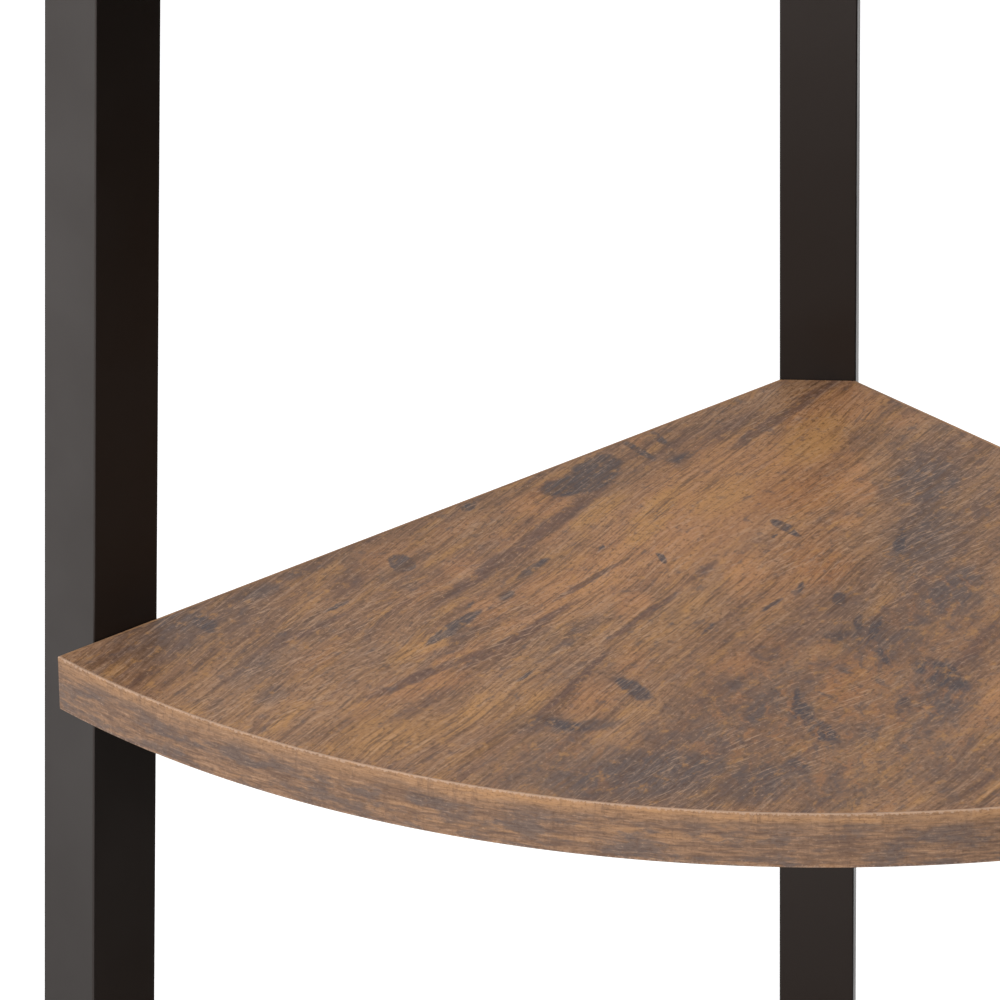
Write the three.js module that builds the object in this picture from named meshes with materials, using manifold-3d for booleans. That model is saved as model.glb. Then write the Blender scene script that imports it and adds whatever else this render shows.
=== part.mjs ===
// Corner shelf unit: quarter-round boards held between three square steel posts.
// The rear post stands in the room's corner. The two side posts run along the walls and lean
// outward towards the floor, so each board is a little smaller than the one below it.
//
// Everything is built in the corner frame: the room's corner is the origin, X runs along the
// left wall, Y along the right wall and Z up. The finished unit is then turned so that its
// front faces -Y, and moved so that the middle of its footprint is the origin.

import * as THREE from "three";
import { mergeVertices } from "three/addons/utils/BufferGeometryUtils.js";
import Module from "manifold-3d";

const wasm = await Module();
wasm.setup();

// Driving dimensions, in millimetres.

// Boards
const TIER_COUNT = 5;
const TIER_SPACING = 350; // from one top surface to the next
const BOTTOM_SHELF_HEIGHT = 88; // from the floor to the lowest top surface
const BOTTOM_SHELF_RADIUS = 334; // from the corner to the tip, at the lowest board
const TOP_SHELF_RADIUS = 268;
const BOARD_THICKNESS = 18;
const EDGING_THICKNESS = 1;

// Posts
const TUBE_WIDTH = 25;
const TUBE_WALL = 1.2;
const TUBE_CORNER_RADIUS = 0.6;
const TIP_OVERHANG = 14.5; // how far a board's tip stands in front of its side post
const POST_ABOVE_TOP_SHELF = 100;

// Post ends
const CAP_THICKNESS = 2;
const CAP_DEPTH = 16; // how far the cap's stub goes into the tube
const SOCKET_FLANGE = 3;
const SOCKET_DEPTH = 26; // how far the foot's socket goes into the tube

// Levelling feet
const PAD_RADIUS = 12.5;
const PAD_HEIGHT = 5;
const PAD_TOP_RADIUS = 11;
const HEX_RADIUS = 7.5; // to the corners of the wrench hexagon
const HEX_HEIGHT = 4;
const STEM_RADIUS = 4;
const STEM_LENGTH = 24;
const STEM_CLEARANCE = 0.1;

// Board fixings: one bolt through each post into a threaded insert in the board's edge
const BOLT_RADIUS = 3;
const BOLT_REACH = 14; // how far the bolt enters the board
const BOLT_HEAD_RADIUS = 5.25;
const BOLT_HEAD_HEIGHT = 3.3;
const BOLT_KEY_RADIUS = 2.3; // to the corners of the hexagonal key recess
const BOLT_KEY_DEPTH = 2;
const INSERT_RADIUS = 4.5;
const INSERT_LENGTH = 15;

// Wall brackets: an angle under the top board on each side that stops the unit from tipping
const BRACKET_WIDTH = 20;
const BRACKET_GAUGE = 1.5;
const BRACKET_UNDER_BOARD = 20;
const BRACKET_DROP = 28;
const BRACKET_BEND_RADIUS = 3;
const BRACKET_HOLE_RADIUS = 2.5;
const WALL_HOLE_DROP = 18; // from the bracket's top to the wall screw's hole
const BRACKET_PLACE_SHARE = 0.5; // along the top board's straight edge
const SCREW_RADIUS = 1.75;
const SCREW_REACH = 12;
const SCREW_HEAD_RADIUS = 3.6;
const SCREW_HEAD_HEIGHT = 2.2;
const SCREW_SLOT_WIDTH = 1;
const SCREW_SLOT_DEPTH = 1;

// Fits
const SEAT_GAP = 0.3; // between two pieces that bear on each other
const HOLE_CLEARANCE = 0.3; // around a bolt, an insert or a screw
const CUT_OVERRUN = 2; // how far a cutting tool runs past what it cuts

// How finely round shapes are divided
const ARC_SEGMENTS = 32;
const CORNER_SEGMENTS = 3;
const BOLT_SEGMENTS = 12;
const FOOT_SEGMENTS = 20;

// Worked out from the driving dimensions.

const QUARTER_TURN = Math.PI / 2;
const HEXAGON_SIDES = 6;
const CHAMFER_LEG = TUBE_WIDTH / Math.SQRT2; // the board's rear corner is cut as wide as the post
const CHAMFER_DISTANCE = CHAMFER_LEG / Math.SQRT2; // from the room's corner to the cut
const LEAN = (BOTTOM_SHELF_RADIUS - TOP_SHELF_RADIUS) / ((TIER_COUNT - 1) * TIER_SPACING);
const LEAN_ANGLE = Math.atan(LEAN);
const FOOT_HEIGHT = PAD_HEIGHT + HEX_HEIGHT;
const POST_BOTTOM = FOOT_HEIGHT + SEAT_GAP + SOCKET_FLANGE + SEAT_GAP;
const POST_TOP = BOTTOM_SHELF_HEIGHT + (TIER_COUNT - 1) * TIER_SPACING + POST_ABOVE_TOP_SHELF;
const TUBE_INSIDE = TUBE_WIDTH - 2 * TUBE_WALL;
const INSIDE_CORNER_RADIUS = Math.max(TUBE_CORNER_RADIUS - TUBE_WALL, TUBE_WALL / 3);
const STUB_WIDTH = TUBE_INSIDE - 2 * SEAT_GAP; // what fits inside the tube
const CORE_INSET = EDGING_THICKNESS + SEAT_GAP; // from the finished edge to the board's core
const STRIP_REAR_LEG = 3 * EDGING_THICKNESS; // so short that the strip stays open at the cut corner
const WALL_DISTANCE = SEAT_GAP + TUBE_WIDTH + SEAT_GAP + BOLT_HEAD_HEIGHT; // board's edge to wall
// The middle of a side post, along the wall, at the floor
const SIDE_POST_FOOT =
  BOTTOM_SHELF_RADIUS + LEAN * BOTTOM_SHELF_HEIGHT - TIP_OVERHANG - TUBE_WIDTH / 2 / Math.cos(LEAN_ANGLE);

const tiers = Array.from({ length: TIER_COUNT }, (_, index) => ({
  number: index + 1,
  top: BOTTOM_SHELF_HEIGHT + index * TIER_SPACING,
  radius: BOTTOM_SHELF_RADIUS - LEAN * index * TIER_SPACING,
}));
const topTier = tiers[TIER_COUNT - 1];

// Each post has a frame of its own, with the board's edge along y = 0 and the wall on its outward
// side, +Y or -Y. A side post's X runs from the corner to the tip, and it leans back along X as it
// rises. foot is where its middle meets the floor, and bare is what the edging takes off the core.
const posts = [
  {
    name: "rear",
    outward: 1,
    lean: 0,
    foot: 0,
    bare: 0,
    turn: QUARTER_TURN + QUARTER_TURN / 2,
    offset: CHAMFER_DISTANCE / Math.SQRT2,
  },
  { name: "left", outward: -1, lean: LEAN, foot: SIDE_POST_FOOT, bare: CORE_INSET, turn: 0, offset: 0 },
  {
    name: "right",
    outward: 1,
    lean: LEAN,
    foot: SIDE_POST_FOOT,
    bare: CORE_INSET,
    turn: QUARTER_TURN,
    offset: 0,
  },
];
const sidePosts = posts.filter((post) => post.lean > 0);

// Finishes

const finish = (color, roughness, metalness) =>
  new THREE.MeshStandardMaterial({ color, roughness, metalness });
const finishes = {
  powderCoat: () => finish(0x2e2a28, 0.5, 0.4),
  woodPrint: () => finish(0x7d5738, 0.6, 0),
  edging: () => finish(0x6d4a30, 0.55, 0),
  blackBolt: () => finish(0x1b1a19, 0.4, 0.8),
  brassInsert: () => finish(0xb59a5b, 0.35, 0.9),
  blackPlastic: () => finish(0x161616, 0.6, 0),
  zincPlate: () => finish(0xa9abad, 0.35, 0.9),
};

// From a three.js geometry to a solid that can be joined and cut, and back

function solidOf(geometry, ...matrices) {
  const plain = geometry.clone();
  plain.deleteAttribute("normal");
  plain.deleteAttribute("uv");
  matrices.forEach((matrix) => plain.applyMatrix4(matrix));
  const merged = mergeVertices(plain);
  return new wasm.Manifold(
    new wasm.Mesh({
      numProp: 3,
      vertProperties: merged.attributes.position.array,
      triVerts: new Uint32Array(merged.index.array),
    }),
  );
}

function meshOf(name, solid, material) {
  const { vertProperties, triVerts } = solid.getMesh();
  const geometry = new THREE.BufferGeometry();
  geometry.setAttribute("position", new THREE.BufferAttribute(vertProperties, 3));
  geometry.setIndex(new THREE.BufferAttribute(triVerts, 1));
  const faceted = geometry.toNonIndexed();
  faceted.computeVertexNormals();
  const mesh = new THREE.Mesh(faceted, material);
  mesh.name = name;
  return mesh;
}

const moved = (x, y, z) => new THREE.Matrix4().makeTranslation(x, y, z);
const turnedAboutX = (angle) => new THREE.Matrix4().makeRotationX(angle);
const turnedAboutY = (angle) => new THREE.Matrix4().makeRotationY(angle);
const turnedAboutZ = (angle) => new THREE.Matrix4().makeRotationZ(angle);
const unmoved = new THREE.Matrix4();

// From a post's frame to the corner frame
const placeOf = (post) => moved(post.offset, post.offset, 0).multiply(turnedAboutZ(post.turn));

// Plain shapes

function roundedSquare(width, radius) {
  const reach = width / 2 - radius;
  const shape = new THREE.Shape();
  shape.absarc(reach, reach, radius, 0, QUARTER_TURN);
  shape.absarc(-reach, reach, radius, QUARTER_TURN, 2 * QUARTER_TURN);
  shape.absarc(-reach, -reach, radius, 2 * QUARTER_TURN, 3 * QUARTER_TURN);
  shape.absarc(reach, -reach, radius, 3 * QUARTER_TURN, 4 * QUARTER_TURN);
  shape.closePath();
  return shape;
}

const extruded = (shape, depth, curveSegments) =>
  new THREE.ExtrudeGeometry(shape, { depth, curveSegments, bevelEnabled: false });

// A round bar along Y, from one place to another. place takes it to another frame.
function barAlongY(radius, from, to, x, z, place = unmoved, segments = BOLT_SEGMENTS) {
  const bar = new THREE.CylinderGeometry(radius, radius, Math.abs(to - from), segments);
  return solidOf(bar, moved(x, (from + to) / 2, z), place);
}

// An upright round bar
function barAlongZ(radius, from, to, x, y, place = unmoved, segments = BOLT_SEGMENTS) {
  const bar = new THREE.CylinderGeometry(radius, radius, to - from, segments);
  return solidOf(bar, turnedAboutX(QUARTER_TURN), moved(x, y, (from + to) / 2), place);
}

// Posts, in the frame of the post

const middleAt = (post, height) => post.foot - post.lean * height;
const sideways = (post) => post.outward * (SEAT_GAP + TUBE_WIDTH / 2);
const fixingHeight = (tier) => tier.top - BOARD_THICKNESS / 2;

// A length of bar of this section that follows the post's lean, cut level at both ends
function leaningBar(post, shape, from, to) {
  const past = CUT_OVERRUN + TUBE_WIDTH * post.lean;
  const length = (to - from + 2 * past) / Math.cos(Math.atan(post.lean));
  const bar = solidOf(
    extruded(shape, length, CORNER_SEGMENTS),
    turnedAboutY(-Math.atan(post.lean)),
    moved(middleAt(post, from - past), sideways(post), from - past),
  );
  const reach = 2 * TUBE_WIDTH + post.lean * (to - from);
  const slab = new THREE.BoxGeometry(2 * reach, 2 * reach, to - from);
  const height = (from + to) / 2;
  return bar.intersect(solidOf(slab, moved(middleAt(post, height), sideways(post), height)));
}

const tubeSection = roundedSquare(TUBE_WIDTH, TUBE_CORNER_RADIUS);
const boreSection = roundedSquare(TUBE_INSIDE, INSIDE_CORNER_RADIUS);
const stubSection = roundedSquare(STUB_WIDTH, INSIDE_CORNER_RADIUS);

function postTube(post) {
  const bore = leaningBar(post, boreSection, POST_BOTTOM - CUT_OVERRUN, POST_TOP + CUT_OVERRUN);
  let tube = leaningBar(post, tubeSection, POST_BOTTOM, POST_TOP).subtract(bore);
  const radius = BOLT_RADIUS + HOLE_CLEARANCE;
  const reach = TUBE_WIDTH / 2 + CUT_OVERRUN;
  const y = sideways(post);
  for (const tier of tiers) {
    const height = fixingHeight(tier);
    tube = tube.subtract(barAlongY(radius, y - reach, y + reach, middleAt(post, height), height));
  }
  return tube;
}

function postCap(post) {
  const seat = POST_TOP + SEAT_GAP;
  const lid = leaningBar(post, tubeSection, seat, seat + CAP_THICKNESS);
  return lid.add(leaningBar(post, stubSection, POST_TOP - CAP_DEPTH, seat + CAP_THICKNESS / 2));
}

// The socket closes the tube's lower end and holds the levelling foot's upright stem.
function footSocket(post) {
  const underside = FOOT_HEIGHT + SEAT_GAP;
  const top = POST_BOTTOM + SOCKET_DEPTH;
  const flange = leaningBar(post, tubeSection, underside, underside + SOCKET_FLANGE);
  const stub = leaningBar(post, stubSection, underside + SOCKET_FLANGE / 2, top);
  const radius = STEM_RADIUS + STEM_CLEARANCE;
  const x = middleAt(post, underside);
  const bore = [underside - CUT_OVERRUN, top + CUT_OVERRUN];
  return flange.add(stub).subtract(barAlongZ(radius, ...bore, x, sideways(post), unmoved, FOOT_SEGMENTS));
}

function levellingFoot(post) {
  const x = middleAt(post, FOOT_HEIGHT + SEAT_GAP);
  const y = sideways(post);
  const rooted = PAD_HEIGHT / 2;
  const cone = new THREE.CylinderGeometry(PAD_TOP_RADIUS, PAD_RADIUS, PAD_HEIGHT, FOOT_SEGMENTS);
  const pad = solidOf(cone, turnedAboutX(QUARTER_TURN), moved(x, y, PAD_HEIGHT / 2));
  const hexagon = barAlongZ(HEX_RADIUS, rooted, FOOT_HEIGHT, x, y, unmoved, HEXAGON_SIDES);
  const stemTop = FOOT_HEIGHT + STEM_LENGTH;
  return pad.add(hexagon).add(barAlongZ(STEM_RADIUS, rooted, stemTop, x, y, unmoved, FOOT_SEGMENTS));
}

// Board fixings, in the frame of the post: a bolt passes through the post into the board's edge.

function boltFor(post, tier) {
  const inward = -post.outward;
  const height = fixingHeight(tier);
  const x = middleAt(post, height);
  const underHead = post.outward * (SEAT_GAP + TUBE_WIDTH + SEAT_GAP);
  const headEnd = underHead + post.outward * BOLT_HEAD_HEIGHT;
  const rooted = underHead + (post.outward * BOLT_HEAD_HEIGHT) / 2;
  const shank = barAlongY(BOLT_RADIUS, rooted, inward * BOLT_REACH, x, height);
  const head = barAlongY(BOLT_HEAD_RADIUS, underHead, headEnd, x, height);
  const recess = [headEnd + post.outward * CUT_OVERRUN, headEnd + inward * BOLT_KEY_DEPTH];
  const key = barAlongY(BOLT_KEY_RADIUS, ...recess, x, height, unmoved, HEXAGON_SIDES);
  return head.add(shank).subtract(key);
}

function insertFor(post, tier) {
  const inward = -post.outward;
  const height = fixingHeight(tier);
  const x = middleAt(post, height);
  const end = post.bare + INSERT_LENGTH;
  const sleeve = barAlongY(INSERT_RADIUS, inward * post.bare, inward * end, x, height);
  const bore = [inward * (post.bare - CUT_OVERRUN), inward * (end + CUT_OVERRUN)];
  return sleeve.subtract(barAlongY(BOLT_RADIUS + HOLE_CLEARANCE, ...bore, x, height));
}

// A hole from the board's edge inwards, in the corner frame
function edgeHole(post, tier, radius) {
  const inward = -post.outward;
  const depth = post.bare + INSERT_LENGTH + SEAT_GAP;
  const height = fixingHeight(tier);
  const reach = [post.outward * CUT_OVERRUN, inward * depth];
  return barAlongY(radius, ...reach, middleAt(post, height), height, placeOf(post));
}

// Boards, in the corner frame

// A quarter disc with its rear corner cut off, drawn in from the finished edge by inset
function boardOutline(radius, inset, rearLeg) {
  const reach = radius - inset;
  const start = Math.asin(inset / reach);
  const shape = new THREE.Shape();
  shape.moveTo(rearLeg - inset, inset);
  shape.absarc(0, 0, reach, start, QUARTER_TURN - start);
  shape.lineTo(inset, rearLeg - inset);
  shape.closePath();
  return shape;
}

const boardSolid = (tier, inset, rearLeg, past = 0) =>
  solidOf(
    extruded(boardOutline(tier.radius, inset, rearLeg), BOARD_THICKNESS + 2 * past, ARC_SEGMENTS),
    moved(0, 0, tier.top - BOARD_THICKNESS - past),
  );

function shelfBoard(tier) {
  let board = boardSolid(tier, CORE_INSET, CHAMFER_LEG);
  for (const post of posts) board = board.subtract(edgeHole(post, tier, INSERT_RADIUS + HOLE_CLEARANCE));
  if (tier === topTier) {
    const from = tier.top - BOARD_THICKNESS - CUT_OVERRUN;
    const to = tier.top - BOARD_THICKNESS + SCREW_REACH + SEAT_GAP;
    const radius = SCREW_RADIUS + HOLE_CLEARANCE;
    for (const post of sidePosts)
      board = board.subtract(barAlongZ(radius, from, to, BRACKET_PLACE, screwPlace(post), placeOf(post)));
  }
  return board;
}

// One strip round the two straight edges and the front, open at the cut corner
function shelfEdging(tier) {
  const rim = boardSolid(tier, 0, CHAMFER_LEG);
  const inside = boardSolid(tier, EDGING_THICKNESS, STRIP_REAR_LEG, CUT_OVERRUN);
  let strip = rim.subtract(inside);
  for (const post of sidePosts) strip = strip.subtract(edgeHole(post, tier, BOLT_RADIUS + HOLE_CLEARANCE));
  return strip;
}

// Wall brackets, in the frame of the side post

const BRACKET_PLACE = topTier.radius * BRACKET_PLACE_SHARE;
const BRACKET_TOP = topTier.top - BOARD_THICKNESS - SEAT_GAP;
const screwPlace = (post) => (-post.outward * BRACKET_UNDER_BOARD) / 2;

function wallBracket(post) {
  const reach = WALL_DISTANCE + BRACKET_UNDER_BOARD;
  const bend = BRACKET_BEND_RADIUS;
  const shape = new THREE.Shape();
  shape.moveTo(reach, 0);
  shape.absarc(bend, -bend, bend, QUARTER_TURN, 2 * QUARTER_TURN);
  shape.lineTo(0, -BRACKET_DROP);
  shape.lineTo(BRACKET_GAUGE, -BRACKET_DROP);
  shape.absarc(bend, -bend, bend - BRACKET_GAUGE, 2 * QUARTER_TURN, QUARTER_TURN, true);
  shape.lineTo(reach, -BRACKET_GAUGE);
  shape.closePath();
  const inwards = new THREE.Vector3(0, -post.outward, 0);
  const up = new THREE.Vector3(0, 0, 1);
  const across = new THREE.Vector3(-post.outward, 0, 0);
  const angle = solidOf(
    extruded(shape, BRACKET_WIDTH, CORNER_SEGMENTS),
    moved(0, 0, -BRACKET_WIDTH / 2),
    new THREE.Matrix4().makeBasis(inwards, up, across),
    moved(BRACKET_PLACE, post.outward * WALL_DISTANCE, BRACKET_TOP),
  );
  const wall = post.outward * (WALL_DISTANCE + CUT_OVERRUN);
  const inside = post.outward * (WALL_DISTANCE - BRACKET_GAUGE - CUT_OVERRUN);
  const height = BRACKET_TOP - WALL_HOLE_DROP;
  const wallHole = barAlongY(BRACKET_HOLE_RADIUS, wall, inside, BRACKET_PLACE, height);
  const radius = SCREW_RADIUS + HOLE_CLEARANCE;
  const through = [BRACKET_TOP - BRACKET_GAUGE - CUT_OVERRUN, BRACKET_TOP + CUT_OVERRUN];
  return angle.subtract(wallHole).subtract(barAlongZ(radius, ...through, BRACKET_PLACE, screwPlace(post)));
}

function bracketScrew(post) {
  const underPlate = BRACKET_TOP - BRACKET_GAUGE - SEAT_GAP;
  const headEnd = underPlate - SCREW_HEAD_HEIGHT;
  const rooted = underPlate - SCREW_HEAD_HEIGHT / 2;
  const tip = topTier.top - BOARD_THICKNESS + SCREW_REACH;
  const y = screwPlace(post);
  const shank = barAlongZ(SCREW_RADIUS, rooted, tip, BRACKET_PLACE, y);
  const head = barAlongZ(SCREW_HEAD_RADIUS, headEnd, underPlate, BRACKET_PLACE, y);
  const across = 2 * SCREW_HEAD_RADIUS + CUT_OVERRUN;
  const slot = new THREE.BoxGeometry(across, SCREW_SLOT_WIDTH, 2 * SCREW_SLOT_DEPTH);
  return head.add(shank).subtract(solidOf(slot, moved(BRACKET_PLACE, y, headEnd)));
}

// The whole unit

const corner = new THREE.Group();

for (const tier of tiers) {
  corner.add(meshOf(`shelf_${tier.number}_board`, shelfBoard(tier), finishes.woodPrint()));
  corner.add(meshOf(`shelf_${tier.number}_edging`, shelfEdging(tier), finishes.edging()));
}

for (const post of posts) {
  const stand = new THREE.Group();
  stand.position.set(post.offset, post.offset, 0);
  stand.rotation.z = post.turn;
  stand.add(meshOf(`${post.name}_post`, postTube(post), finishes.powderCoat()));
  stand.add(meshOf(`${post.name}_post_cap`, postCap(post), finishes.blackPlastic()));
  stand.add(meshOf(`${post.name}_foot_socket`, footSocket(post), finishes.blackPlastic()));
  stand.add(meshOf(`${post.name}_levelling_foot`, levellingFoot(post), finishes.blackPlastic()));
  for (const tier of tiers) {
    stand.add(meshOf(`${post.name}_bolt_${tier.number}`, boltFor(post, tier), finishes.blackBolt()));
    stand.add(meshOf(`${post.name}_insert_${tier.number}`, insertFor(post, tier), finishes.brassInsert()));
  }
  if (sidePosts.includes(post)) {
    stand.add(meshOf(`${post.name}_wall_bracket`, wallBracket(post), finishes.zincPlate()));
    stand.add(meshOf(`${post.name}_bracket_screw`, bracketScrew(post), finishes.zincPlate()));
  }
  corner.add(stand);
}

// The front faces -Y, and the middle of the footprint is the origin.
const unit = new THREE.Group();
unit.add(corner);
corner.rotation.z = -(QUARTER_TURN + QUARTER_TURN / 2);
const footprint = new THREE.Box3().setFromObject(unit, true).getCenter(new THREE.Vector3());
corner.position.set(-footprint.x, -footprint.y, 0);

export default unit;
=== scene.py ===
# %% [markdown]
# # A corner shelf unit in Blender
#
# The unit is a stack of quarter-round boards held between three square steel posts. Its
# construction is fixed already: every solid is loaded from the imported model, in metres, with the
# floor at z = 0 and the rounded front facing -Y. What is made here is the look of it, piece by
# piece: finer meshes where an edge or a thread catches the light, and a finish for each surface.

import math
from collections import namedtuple

import bpy
import bmesh
from mathutils import Matrix, Vector


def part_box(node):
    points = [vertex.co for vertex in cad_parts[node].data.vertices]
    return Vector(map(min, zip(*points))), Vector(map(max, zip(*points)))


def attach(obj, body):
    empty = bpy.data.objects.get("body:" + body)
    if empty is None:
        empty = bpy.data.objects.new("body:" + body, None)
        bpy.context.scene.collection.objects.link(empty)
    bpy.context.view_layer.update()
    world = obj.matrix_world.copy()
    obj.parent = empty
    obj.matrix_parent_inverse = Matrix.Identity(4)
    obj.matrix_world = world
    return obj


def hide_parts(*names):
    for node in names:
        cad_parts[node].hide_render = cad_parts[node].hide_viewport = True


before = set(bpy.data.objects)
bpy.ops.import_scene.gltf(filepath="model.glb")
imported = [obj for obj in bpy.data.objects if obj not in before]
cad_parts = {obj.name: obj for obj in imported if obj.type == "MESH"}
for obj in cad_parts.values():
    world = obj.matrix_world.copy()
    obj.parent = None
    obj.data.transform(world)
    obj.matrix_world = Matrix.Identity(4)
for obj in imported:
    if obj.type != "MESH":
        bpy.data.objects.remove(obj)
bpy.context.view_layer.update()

# %% [markdown]
# ## Sizes taken from the solids
#
# A dressed piece has to sit exactly where its solid sits, so nothing is measured twice. The box
# round a solid gives a board's height and radius, a post's width and its lean. Sizes that a box
# can't show, such as the wall of a tube, are written here in millimetres as a maker would say them.

# %% Read the sizes
MM = 0.001
POSTS = ("rear", "left", "right")
TIER_COUNT = 5
TIER_NUMBERS = range(1, TIER_COUNT + 1)

lowest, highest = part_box("rear_post")
TUBE_WIDTH = highest.x - lowest.x
POST_BOTTOM, POST_TOP = lowest.z, highest.z
TUBE_WALL = 1.2 * MM
TUBE_CORNER_RADIUS = 0.6 * MM
TUBE_INSIDE = TUBE_WIDTH - 2 * TUBE_WALL
SEAT_GAP = 0.3 * MM
EDGING_THICKNESS = 1 * MM

# The room's corner lies half a tube behind the boards' cut rear faces.
ROOM_CORNER = Vector((0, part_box("shelf_1_board")[1].y + TUBE_WIDTH / 2, 0))
REAR_CUT = TUBE_WIDTH / math.sqrt(2)

Tier = namedtuple("Tier", "number top thickness radius")


def measured_tier(number):
    low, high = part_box(f"shelf_{number}_edging")
    return Tier(number, high.z, high.z - low.z, high.x * math.sqrt(2))


tiers = [measured_tier(number) for number in TIER_NUMBERS]
LEAN = (tiers[0].radius - tiers[-1].radius) / (tiers[-1].top - tiers[0].top)
print("tube", round(TUBE_WIDTH / MM, 2), "mm, lean", round(LEAN, 4))
print("radii", [round(tier.radius / MM, 1) for tier in tiers])

# %% [markdown]
# ## The camera
#
# The photograph is a close view of one tier, taken from about eye height through a long lens, so
# that upright lines stay nearly parallel. The place and the three angles come from a fit to the
# edges of the board and the posts. A camera in Blender looks along its own -Z axis, so its turning
# matrix has the picture's right, the picture's up and the reversed view direction as columns.

# %% Set up the camera
CAMERA_PLACE = Vector((0.10098, -2.39623, 1.61412))
CAMERA_YAW = 0.0807654
CAMERA_PITCH = 0.4467146
CAMERA_ROLL = -0.0154649
SENSOR_WIDTH = 36.0
PICTURE_WIDTH_PIXELS = 1000
FOCAL_LENGTH_PIXELS = 8567.93


def in_scene(name, data):
    """A new object that shows this data, linked into the scene."""
    thing = bpy.data.objects.new(name, data)
    bpy.context.scene.collection.objects.link(thing)
    return thing


def camera_turn(yaw, pitch, roll):
    """Columns: the picture's right, its up, and backwards along the view."""
    level = math.cos(pitch)
    forward = Vector((-math.sin(yaw) * level, math.cos(yaw) * level, -math.sin(pitch)))
    level_right = Vector((math.cos(yaw), math.sin(yaw), 0))
    level_up = level_right.cross(forward)
    right = math.cos(roll) * level_right + math.sin(roll) * level_up
    up = math.cos(roll) * level_up - math.sin(roll) * level_right
    return Matrix((right, up, -forward)).transposed()


camera_data = bpy.data.cameras.new("camera")
camera_data.sensor_width = SENSOR_WIDTH
camera_data.lens = FOCAL_LENGTH_PIXELS * SENSOR_WIDTH / PICTURE_WIDTH_PIXELS
camera = in_scene("camera", camera_data)
turn = camera_turn(CAMERA_YAW, CAMERA_PITCH, CAMERA_ROLL)
camera.matrix_world = Matrix.Translation(CAMERA_PLACE) @ turn.to_4x4()
bpy.context.scene.camera = camera
print("lens", round(camera_data.lens, 1), "mm")

# %% [markdown]
# ## A helper for node trees
#
# Materials and Geometry Nodes are both trees of nodes joined by links. Written out in full, each
# node takes several lines. This small class adds one node and feeds its inputs in a single call:
# a value that is another node's output becomes a link, and any other value is typed in. Every
# finish ends in the same way, with a colour, a roughness and a fine relief, so that is a helper too.

# %% The tree helper
class Tree:
    """Adds nodes to a tree. Calling it returns one output of the new node."""

    def __init__(self, tree):
        self.tree = tree

    def feed(self, node, feeds):
        """Gives a node its inputs, by name or in their order."""
        pairs = feeds.items() if isinstance(feeds, dict) else enumerate(feeds)
        for key, value in pairs:
            if isinstance(value, bpy.types.NodeSocket):
                self.tree.links.new(value, node.inputs[key])
            else:
                node.inputs[key].default_value = value
        return node

    def node(self, kind, feeds=(), **settings):
        node = self.tree.nodes.new(kind)
        for name, value in settings.items():
            setattr(node, name, value)
        return self.feed(node, feeds)

    def __call__(self, kind, feeds=(), output=0, **settings):
        return self.node(kind, feeds, **settings).outputs[output]

    def math(self, operation, *values):
        return self("ShaderNodeMath", values, operation=operation)

    def plus(self, first, second):
        return self.math("ADD", first, second)

    def minus(self, first, second):
        return self.math("SUBTRACT", first, second)

    def times(self, first, second):
        return self.math("MULTIPLY", first, second)

    def vector(self, operation, *values, output=0):
        return self("ShaderNodeVectorMath", values, output, operation=operation)

    def dot(self, first, second):
        return self.vector("DOT_PRODUCT", first, second, output="Value")

    def combine(self, x=0.0, y=0.0, z=0.0):
        return self("ShaderNodeCombineXYZ", (x, y, z))

    def split(self, vector):
        return self.node("ShaderNodeSeparateXYZ", (vector,)).outputs

    def ranged(self, value, start, end, low=0.0, high=1.0):
        """Eases from low to high while the value goes from start to end."""
        feeds = (value, start, end, low, high)
        return self("ShaderNodeMapRange", feeds, interpolation_type="SMOOTHSTEP")

    def placed(self, vector, move=(0, 0, 0), turn=(0, 0, 0), stretch=(1, 1, 1)):
        return self("ShaderNodeMapping", (vector, move, turn, stretch))

    def noise(self, vector, detail=4.0, roughness=0.5, output=0):
        feeds = {"Vector": vector, "Scale": 1.0, "Detail": detail, "Roughness": roughness}
        return self("ShaderNodeTexNoise", feeds, output)

    def blend(self, share, first, second):
        """Mixes two colours. The Mix node keeps its colours at inputs 6 and 7 and at output 2."""
        feeds = {0: share, 6: first, 7: second}
        return self("ShaderNodeMix", feeds, 2, data_type="RGBA")


def colour(red, green, blue):
    """A colour as an eye reads it, from 0 to 255, turned into the linear values of a shader."""
    parts = [part / 255 for part in (red, green, blue)]
    linear = [p / 12.92 if p <= 0.04045 else ((p + 0.055) / 1.055) ** 2.4 for p in parts]
    return (*linear, 1.0)


def new_material(name):
    """A material with its tree helper and its Principled shader."""
    material = bpy.data.materials.new(name)
    material.use_nodes = True
    return material, Tree(material.node_tree), material.node_tree.nodes["Principled BSDF"]


def dressed(tree, skin, tone, roughness, relief, strength, depth):
    """Feeds a shader its colour, its roughness and a relief that is this many millimetres deep."""
    pressed = {"Strength": strength, "Distance": depth * MM, "Height": relief}
    bump = tree("ShaderNodeBump", pressed)
    tree.feed(skin, {"Base Color": tone, "Roughness": roughness, "Normal": bump})

# %% [markdown]
# ## The studio
#
# The photograph has a plain white ground and even, soft light that comes mostly from the front
# left. A white floor that is white only for the camera and for reflections doesn't flood the unit
# with light from below. It is partly glow and partly plain white paint, so the unit's shadow still
# shows on it. One large soft lamp is the key, a weaker one fills the front, and the world gives
# the rest. A dark card stands on the right, with another at its foot, and a grey one lies on the
# left. They are seen only in reflections, as a photographer would place them: the dark ones keep
# the posts' right-hand faces dark, and the grey one dims the left-hand faces towards the floor.

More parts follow.
